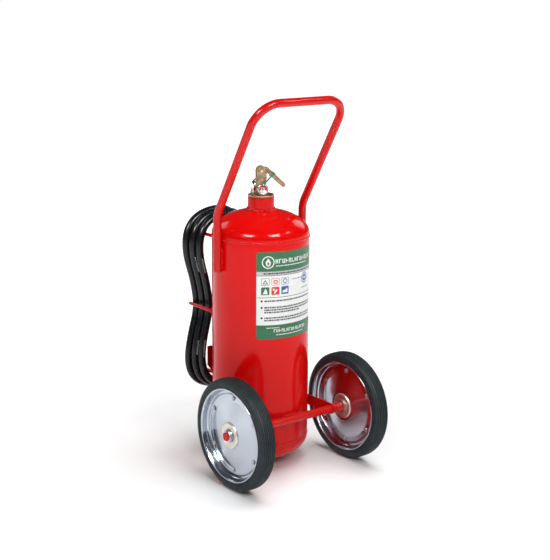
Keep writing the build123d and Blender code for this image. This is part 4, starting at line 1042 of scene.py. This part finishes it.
dial = bmesh.new()
dial_patch(dial, 0.01, 15.0, -180, 180, 0.0, WHITE)
dial_patch(dial, 5.5, 13.6, -115, -38, 0.04, RED)
dial_patch(dial, 5.5, 13.6, -38, 38, 0.04, RED)
dial_patch(dial, 5.5, 13.6, -22, 22, 0.08, GREEN)
dial_patch(dial, 5.5, 13.6, 38, 115, 0.04, RED)
for k in range(13):
    tick = -108 + 18 * k
    dial_patch(dial, 11.6, 14.2, tick - 1.2, tick + 1.2, 0.12, BLACK if k % 3 else WHITE)
dial_patch(dial, 0.01, 2.6, -180, 180, 0.12, BLACK)
bmesh.ops.recalc_face_normals(dial, faces=dial.faces)
for face in dial.faces:
    if face.normal.dot(-OUTLET_WAY) < 0:
        face.normal_flip()
dial_piece = settle("dial_plate", dial, None, "tank", ["gauge_dial"])
for ink in PRINTS:
    dial_piece.data.materials.append(ink)

# %% Ferrule with crimped rings
DOWN_WAY = (OUTLET_WAY - Vector((0, 0, 1))).normalized()
FERRULE_SPOT = Vector(hose_exit) - DOWN_WAY * 32
ferrule_profile = [Vector((0, 6)), Vector((0, 12.6)), Vector((1.2, 13.8))]
for k in range(5):
    start = 4 + 5.4 * k
    ferrule_profile += [Vector((start, 14)), Vector((start + 1.4, 13.1)), Vector((start + 2.8, 13.1)),
                        Vector((start + 4.2, 14))]
ferrule_profile += [Vector((31, 14)), Vector((32, 13)), Vector((32, 6))]
settle("crimped_ferrule", lathe(rounded(ferrule_profile, 0.6), FERRULE_SPOT, DOWN_WAY, 64, True),
       bright_steel, "tank", ["hose_ferrule"])

# %% Locking pin, pull ring and tie
LOCK_U, LOCK_Z = 5.91, 917.75
pin_line = [valve_place(LOCK_U, v, LOCK_Z) for v in (-14.5, 0, 14.5)]
eye_turns = [pi / 8 * k for k in range(17)]
pin_eye = [valve_place(LOCK_U, 17.6 + 2.6 * cos(t), LOCK_Z + 2.6 * sin(t)) for t in eye_turns]
settle("locking_pin", joined(tube(pin_line, 1.8, sides=20, tip=0.7), tube(pin_eye, 1.0, sides=12)),
       bright_steel, "lock_pin", ["safety_pin"])
wire_section = [(1.1 * cos(2 * pi * k / 12), 12 + 1.1 * sin(2 * pi * k / 12)) for k in range(12)]
settle("pull_ring", lathe(wire_section, valve_place(LOCK_U, 19, LOCK_Z - 12), OUTLET_WAY, 64, True),
       bright_steel, "lock_pin", ["pin_ring"])
tie_turns = [2 * pi * k / 40 for k in range(41)]
tie_line = [valve_place(27 + 11 * cos(t), -15.5 + 1.5 * sin(2 * t), 884 + 13 * sin(t)) for t in tie_turns]
settle("clear_tie", tube(tie_line, 0.7, sides=10), clear_plastic, "lever")

# %% [markdown]
# ## Nozzle
# The hose ends in a moulded nozzle with a trigger, parked in a ring on the tank. It is
# turned from soft profiles: ribs on the ferrule, finger grooves on the grip and a lip at
# the mouth.

# %% Nozzle
NOZZLE = (34, 240, 0)
ribbed = [(456, 6), (456, 12.6)]
for k in range(4):
    ribbed += [(452.5 - 5.2 * k, 14), (450 - 5.2 * k, 14), (449 - 5.2 * k, 13), (448.2 - 5.2 * k, 13)]
ribbed += [(431.5, 14), (430.3, 12.8), (430.3, 6)]
gripped = [(430, 5.6), (430, 12.4), (428.5, 14)]
gripped += [(428 - 2 * k, 14 - 0.9 * (0.5 - 0.5 * cos(2 * pi * k / 6))) for k in range(1, 42)]
gripped += [(344, 14), (342, 12.4), (342, 5.6)]
tipped = [(341.7, 5.6), (341.7, 13), (329.7, 13), (326, 10.4), (300, 10), (262, 9.6), (261, 10), (258.5, 10),
          (257.7, 8.6), (257.7, 5.6)]
for piece_name, profile, bend, node_name in (
    ("ribbed_ferrule", ribbed, 0.5, "nozzle_ferrule"), ("grip_barrel", gripped, 0.6, "nozzle_body"),
    ("discharge_tip", tipped, 1.0, "nozzle_tip"),
):
    turned_piece = lathe(rounded(profile, bend), NOZZLE, (0, 0, 1), 64, True)
    if node_name == "nozzle_body":
        lug = rounded([(-22, 423), (2, 428), (2, 405), (-22, 412)], 3)
        turned_piece = joined(turned_piece, plate(lug, NOZZLE, (1, 0, 0), (0, 0, 1), 6, 0.6))
    settle(piece_name, turned_piece, black_plastic, "tank", [node_name])

# %% [markdown]
# ## Label
# The label is a printed film on the front of the barrel. It is drawn flat in millimetres
# and each point is then wrapped round the tank. Each colour lies a hair above the one
# below it, the way inks do. The signs and lines of print are generic bars and shapes.

# %% Drawing on the barrel
SHEET_RADIUS = 150.3
LABEL_LOW, LABEL_HIGH, LABEL_HALF = 425.5, 692.0, 111.3
label = bmesh.new()


def on_barrel(s, z, lift):
    """A flat place on the film, wrapped round the tank."""
    turn = s / TANK_RADIUS - pi / 2
    reach = SHEET_RADIUS + lift * 0.05
    return Vector((reach * cos(turn), reach * sin(turn), z)) * MM


def ink(points, lift, print_index):
    """A flat shape cut into narrow strips, so it can follow the curve."""
    flat_shape = bmesh.new()
    face = flat_shape.faces.new([flat_shape.verts.new((s, z, 0)) for s, z in points])
    low = min(s for s, z in points)
    high = max(s for s, z in points)
    cut = floor(low / 5) * 5 + 5
    while cut < high - 0.01:
        everything = flat_shape.verts[:] + flat_shape.edges[:] + flat_shape.faces[:]
        bmesh.ops.bisect_plane(flat_shape, geom=everything, plane_co=(cut, 0, 0), plane_no=(1, 0, 0))
        cut += 5
    for strip in flat_shape.faces:
        corners = [label.verts.new(on_barrel(v.co.x, v.co.y, lift)) for v in strip.verts]
        made = label.faces.new(corners)
        made.material_index = print_index
    flat_shape.free()


def box_ink(s, z, width, height, lift, print_index, bend=0.0):
    """A rectangle by its lower left corner, with rounded corners if asked."""
    corners = [(s, z), (s + width, z), (s + width, z + height), (s, z + height)]
    if bend:
        corners = [tuple(p) for p in rounded(corners, bend, 5)]
    ink(corners, lift, print_index)


def round_ink(s, z, radius, lift, print_index, sides=28, start=0.0):
    """A disc, or a polygon with few sides."""
    turns = [start + 2 * pi * k / sides for k in range(sides)]
    ink([(s + radius * cos(t), z + radius * sin(t)) for t in turns], lift, print_index)


# %% Fields of the label
width = 2 * LABEL_HALF
box_ink(-LABEL_HALF, LABEL_LOW, width, LABEL_HIGH - LABEL_LOW, 0, GREEN, 9)
box_ink(-LABEL_HALF + 0.5, 469, width - 1, 152, 1, WHITE)
box_ink(-LABEL_HALF + 0.5, 621, width - 1, 12, 1, GREY)
box_ink(-LABEL_HALF + 0.5, 619.6, width - 1, 1.4, 2, BLACK)
box_ink(-LABEL_HALF + 3, 553, width - 6, 1.6, 2, BLACK)
box_ink(-LABEL_HALF + 0.5, 467.6, width - 1, 1.4, 2, BLACK)


# %% Lines of print, as bars of uneven words
def print_line(start, z, length, height, lift, print_index, seed):
    """A row of short bars that reads as words from a distance."""
    s, k = start, seed
    while s < start + length:
        word = 3.5 + 5.0 * (0.5 + 0.5 * sin(k * 2.39))
        word = min(word, start + length - s)
        if word > 1.2:
            box_ink(s, z, word, height, lift, print_index)
        s += word + 1.5
        k += 1


def print_block(start, z, length, height, seed, print_index=WHITE):
    """Bold capitals: upright strokes with bars between them."""
    s, k = start, seed
    while s + height * 0.6 < start + length:
        stroke = height * 0.2
        letter = height * 0.62
        box_ink(s, z, stroke, height, 3, print_index)
        level = (0, 0.4, 0.8)[k % 3]
        box_ink(s + stroke, z + level * height, letter - stroke, stroke, 3, print_index)
        if k % 2:
            box_ink(s + letter - stroke, z, stroke, height, 4, print_index)
        s += letter + height * 0.22
        k += 1


print_block(-54, 657, 150, 13, 1)
print_line(-52, 648, 120, 2.6, 3, WHITE, 4)
print_line(-90, 624.6, 186, 4.6, 2, BLACK, 9)

# %% Emblem, signs and seal
round_ink(-76, 661, 19, 3, WHITE)
round_ink(-76, 661, 16, 4, GREEN)
ink([(-76, 674), (-84, 661), (-82, 652), (-76, 648.5), (-70, 652), (-68, 661)], 5, WHITE)
ink([(-76, 664), (-79.5, 656.5), (-76, 651.5), (-72.5, 656.5)], 6, GREEN)
for column, colour in ((-97, GREEN), (-66, RED), (-35, BLUE)):
    box_ink(column, 562, 25, 24, 3, colour, 3)
    box_ink(column, 591, 25, 22, 3, colour, 3)
    box_ink(column + 1.4, 592.4, 22.2, 19.2, 4, WHITE, 2)
ink([(-93, 595), (-76, 595), (-84.5, 609)], 5, GREEN)
ink([(-88.5, 597.5), (-80.5, 597.5), (-84.5, 604)], 6, WHITE)
box_ink(-60, 596, 13, 11, 5, RED, 2)
box_ink(-57, 599, 7, 5, 6, WHITE, 1)
round_ink(-22.5, 602, 7.5, 5, BLUE)
round_ink(-22.5, 602, 4.8, 6, WHITE)
ink([(-92, 565), (-84, 582), (-80, 576), (-77, 565)], 5, WHITE)
ink([(-59, 568), (-51, 580), (-47, 576), (-55, 565)], 5, WHITE)
round_ink(-59, 578, 3.4, 5, WHITE)
ink([(-31, 567), (-31, 573), (-22, 575), (-15, 581), (-14, 567)], 5, WHITE)
round_ink(60, 600, 17, 3, BLUE)
round_ink(60, 600, 14, 4, WHITE)
round_ink(60, 600, 11, 5, BLUE)
round_ink(60, 600, 5, 6, WHITE, 5, pi / 2)
print_line(4, 603, 38, 2.2, 3, BLACK, 5)
print_line(44, 570, 40, 2.2, 3, BLACK, 2)

# %% Notes and footer
for z, rows, seed in ((541, 1, 3), (521, 3, 11), (489, 2, 23)):
    round_ink(-95, z + 2.3, 3.4, 3, BLACK, 14)
    for row in range(rows):
        print_line(-87, z - 7.5 * row, 182 - 60 * (row == 2), 4.6, 3, BLACK, seed + 7 * row)
print_block(-58, 446, 128, 10, 2)
print_line(-50, 437, 104, 2.6, 3, WHITE, 8)
print_line(-80, 459, 40, 2.2, 3, WHITE, 6)
bmesh.ops.recalc_face_normals(label, faces=label.faces)
for face in label.faces:
    middle = face.calc_center_median()
    if face.normal.dot(Vector((middle.x, middle.y, 0))) < 0:
        face.normal_flip()
label_piece = settle("printed_film", label, None, "tank", ["label_sheet"])
for colour in PRINTS:
    label_piece.data.materials.append(colour)
print("label shapes:", len(label_piece.data.polygons), "faces")

# %% [markdown]
# ## Print along the hose
# The hose carries a broken line of print. Each mark is a thin strip that follows the
# spline's own line, a hair above the rubber, on the side away from the tank.

# %% Hose print
hose_marks = bmesh.new()
PRINT_WAY = Vector((-0.15, -0.99, 0)).normalized()
marks = 0
for k in range(2, len(hose_line) - 3):
    place = hose_line[k]
    in_band = 0.571 < place.z < 0.617 or 0.297 < place.z < 0.347
    if place.x > -0.03 or place.y > 0.217 or not in_band:
        continue
    along = (hose_line[k + 1] - hose_line[k]).normalized()
    out = (PRINT_WAY - along * PRINT_WAY.dot(along)).normalized()
    across = along.cross(out)
    step = (hose_line[k + 1] - hose_line[k]) / 3
    for dash in range(3):
        corners = []
        for share, sense in ((0.15, -1), (0.75, -1), (0.75, 1), (0.15, 1)):
            centre = place + step * (dash + share)
            turn = sense * 0.17
            corners.append(centre + (out * cos(turn) + across * sin(turn)) * (HOSE_RADIUS + 0.15) * MM)
        hose_marks.faces.new([hose_marks.verts.new(c) for c in corners])
        marks += 1
hose_marks.normal_update()
for face in hose_marks.faces:
    if face.normal.dot(PRINT_WAY) < 0:
        face.normal_flip()
settle("hose_marks", hose_marks, hose_print, "tank")
print("hose marks:", marks)

# %% [markdown]
# ## Return spring
# Inside the valve a coil spring pushes the stem up. It is one wire wound six times
# between the retainer and the poppet. The lever's stroke shortens it, but the piece is
# drawn at its full length.

# %% Return spring
box_points = [v.co for v in nodes["stem_spring"].data.vertices]
spring_low = min(p.z for p in box_points) / MM
spring_high = max(p.z for p in box_points) / MM
SPRING_WIRE, SPRING_TURNS, STROKE = 0.65, 6, 4.6
spring_reach = max(p.x for p in box_points) / MM - SPRING_WIRE
rise = spring_high - spring_low - 2 * SPRING_WIRE
spring_line = []
for k in range(SPRING_TURNS * 24 + 1):
    turn = 2 * pi * k / 24
    spring_line.append((spring_reach * cos(turn), spring_reach * sin(turn),
                        spring_low + SPRING_WIRE + rise * k / (SPRING_TURNS * 24)))
spring = settle("return_spring", tube(spring_line, SPRING_WIRE, sides=12), dull_steel, "tank",
                ["stem_spring"])
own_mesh(spring)
print("spring from", round(spring_low, 1), "to", round(spring_high, 1), "mm")

# %% [markdown]
# ## Floor and light
# A pale, slightly glossy sweep holds a soft shadow. Far from the object it glows a little,
# so that floor and background meet in one white. A wide light from above makes the soft
# shadow, and two fill lamps light the front. The glints come from lamps of their own,
# which light no matt surface, so their size and place can be chosen freely.

# %% Floor
floor_mesh = bpy.data.meshes.new("floor")
half = 30.0
floor_corners = [(-half, -half, 0), (half, -half, 0), (half, half, 0), (-half, half, 0)]
floor_mesh.from_pydata(floor_corners, [], [(0, 1, 2, 3)])
floor_piece = bpy.data.objects.new("floor", floor_mesh)
bpy.context.scene.collection.objects.link(floor_piece)
floor_paint = finish("pale_floor", (0.93, 0.93, 0.93), (0.90, 0.90, 0.90), drift=(0.5, 0.4, 0.7), gloss=0.06,
                     matt=0.12, grain=80.0, bump=0.0)
floor_tree = floor_paint.node_tree
floor_place = floor_tree.nodes.new("ShaderNodeTexCoord")
floor_reach = floor_tree.nodes.new("ShaderNodeVectorMath")
floor_reach.operation = "LENGTH"
floor_tree.links.new(floor_place.outputs["Object"], floor_reach.inputs[0])
GLOW_START, GLOW_FULL, GLOW_POWER = 0.55, 1.7, 0.75
far_glow = spread(floor_tree, floor_reach.outputs["Value"], GLOW_START, GLOW_FULL, 0.0, GLOW_POWER)
floor_shader = floor_tree.nodes["Principled BSDF"]
floor_shader.inputs["Emission Color"].default_value = (1, 1, 1, 1)
floor_tree.links.new(far_glow, floor_shader.inputs["Emission Strength"])
floor_mesh.materials.append(floor_paint)


# %% Lamps
def soft_box(name, place, target, size, power, colour=(1, 1, 1)):
    """A rectangular lamp that faces a target."""
    data = bpy.data.lights.new(name, "AREA")
    data.shape = "RECTANGLE"
    data.size, data.size_y = size
    data.energy = power
    data.color = colour
    lamp = bpy.data.objects.new(name, data)
    bpy.context.scene.collection.objects.link(lamp)
    aim = (Vector(target) - Vector(place)).to_track_quat("-Z", "Y")
    lamp.matrix_world = Matrix.Translation(place) @ aim.to_matrix().to_4x4()
    return lamp


soft_box("fill_left", (-2.6, -2.0, 3.0), (0, 0, 0.6), (1.2, 1.2), 44).visible_glossy = False
soft_box("fill_right", (-0.2, -3.2, 3.0), (0, 0, 0.6), (1.2, 1.2), 44).visible_glossy = False
glints = [
    soft_box("glint_left", (-3.3, -1.2, 3.3), (0, 0, 0.7), (1.5, 0.9), 230),
    soft_box("glint_right", (-0.1, -3.4, 3.3), (0, 0, 0.7), (1.5, 1.0), 230),
    soft_box("glint_side", (2.1, -2.2, 3.2), (0, 0, 0.7), (0.5, 0.3), 22),
    soft_box("back_left", (-0.6, 3.6, 2.6), (0, 0, 0.8), (1.6, 1.6), 24),
    soft_box("back_right", (3.6, 1.0, 2.6), (0, 0, 0.8), (1.6, 1.6), 24),
]
for lamp in glints:
    lamp.visible_diffuse = False
    lamp.visible_camera = False
sun_data = bpy.data.lights.new("ceiling", "SUN")
sun_data.energy = 2.75
sun_data.angle = radians(48)
ceiling = bpy.data.objects.new("ceiling", sun_data)
bpy.context.scene.collection.objects.link(ceiling)
ceiling.matrix_world = Matrix.Rotation(radians(12), 4, "Y")
ceiling.visible_glossy = False
world = bpy.data.worlds.new("studio")
bpy.context.scene.world = world
world.use_nodes = True
sky = world.node_tree.nodes["Background"]
sky.inputs["Color"].default_value = (1, 1, 1, 1)
ray_kind = world.node_tree.nodes.new("ShaderNodeLightPath")
dim_sky = spread(world.node_tree, ray_kind.outputs["Is Glossy Ray"], 0.0, 1.0, 0.24, 0.06)
sky_power = spread(world.node_tree, ray_kind.outputs["Is Camera Ray"], 0.0, 1.0, dim_sky, 1.0)
world.node_tree.links.new(sky_power, sky.inputs["Strength"])
bpy.context.scene.view_settings.view_transform = "Standard"
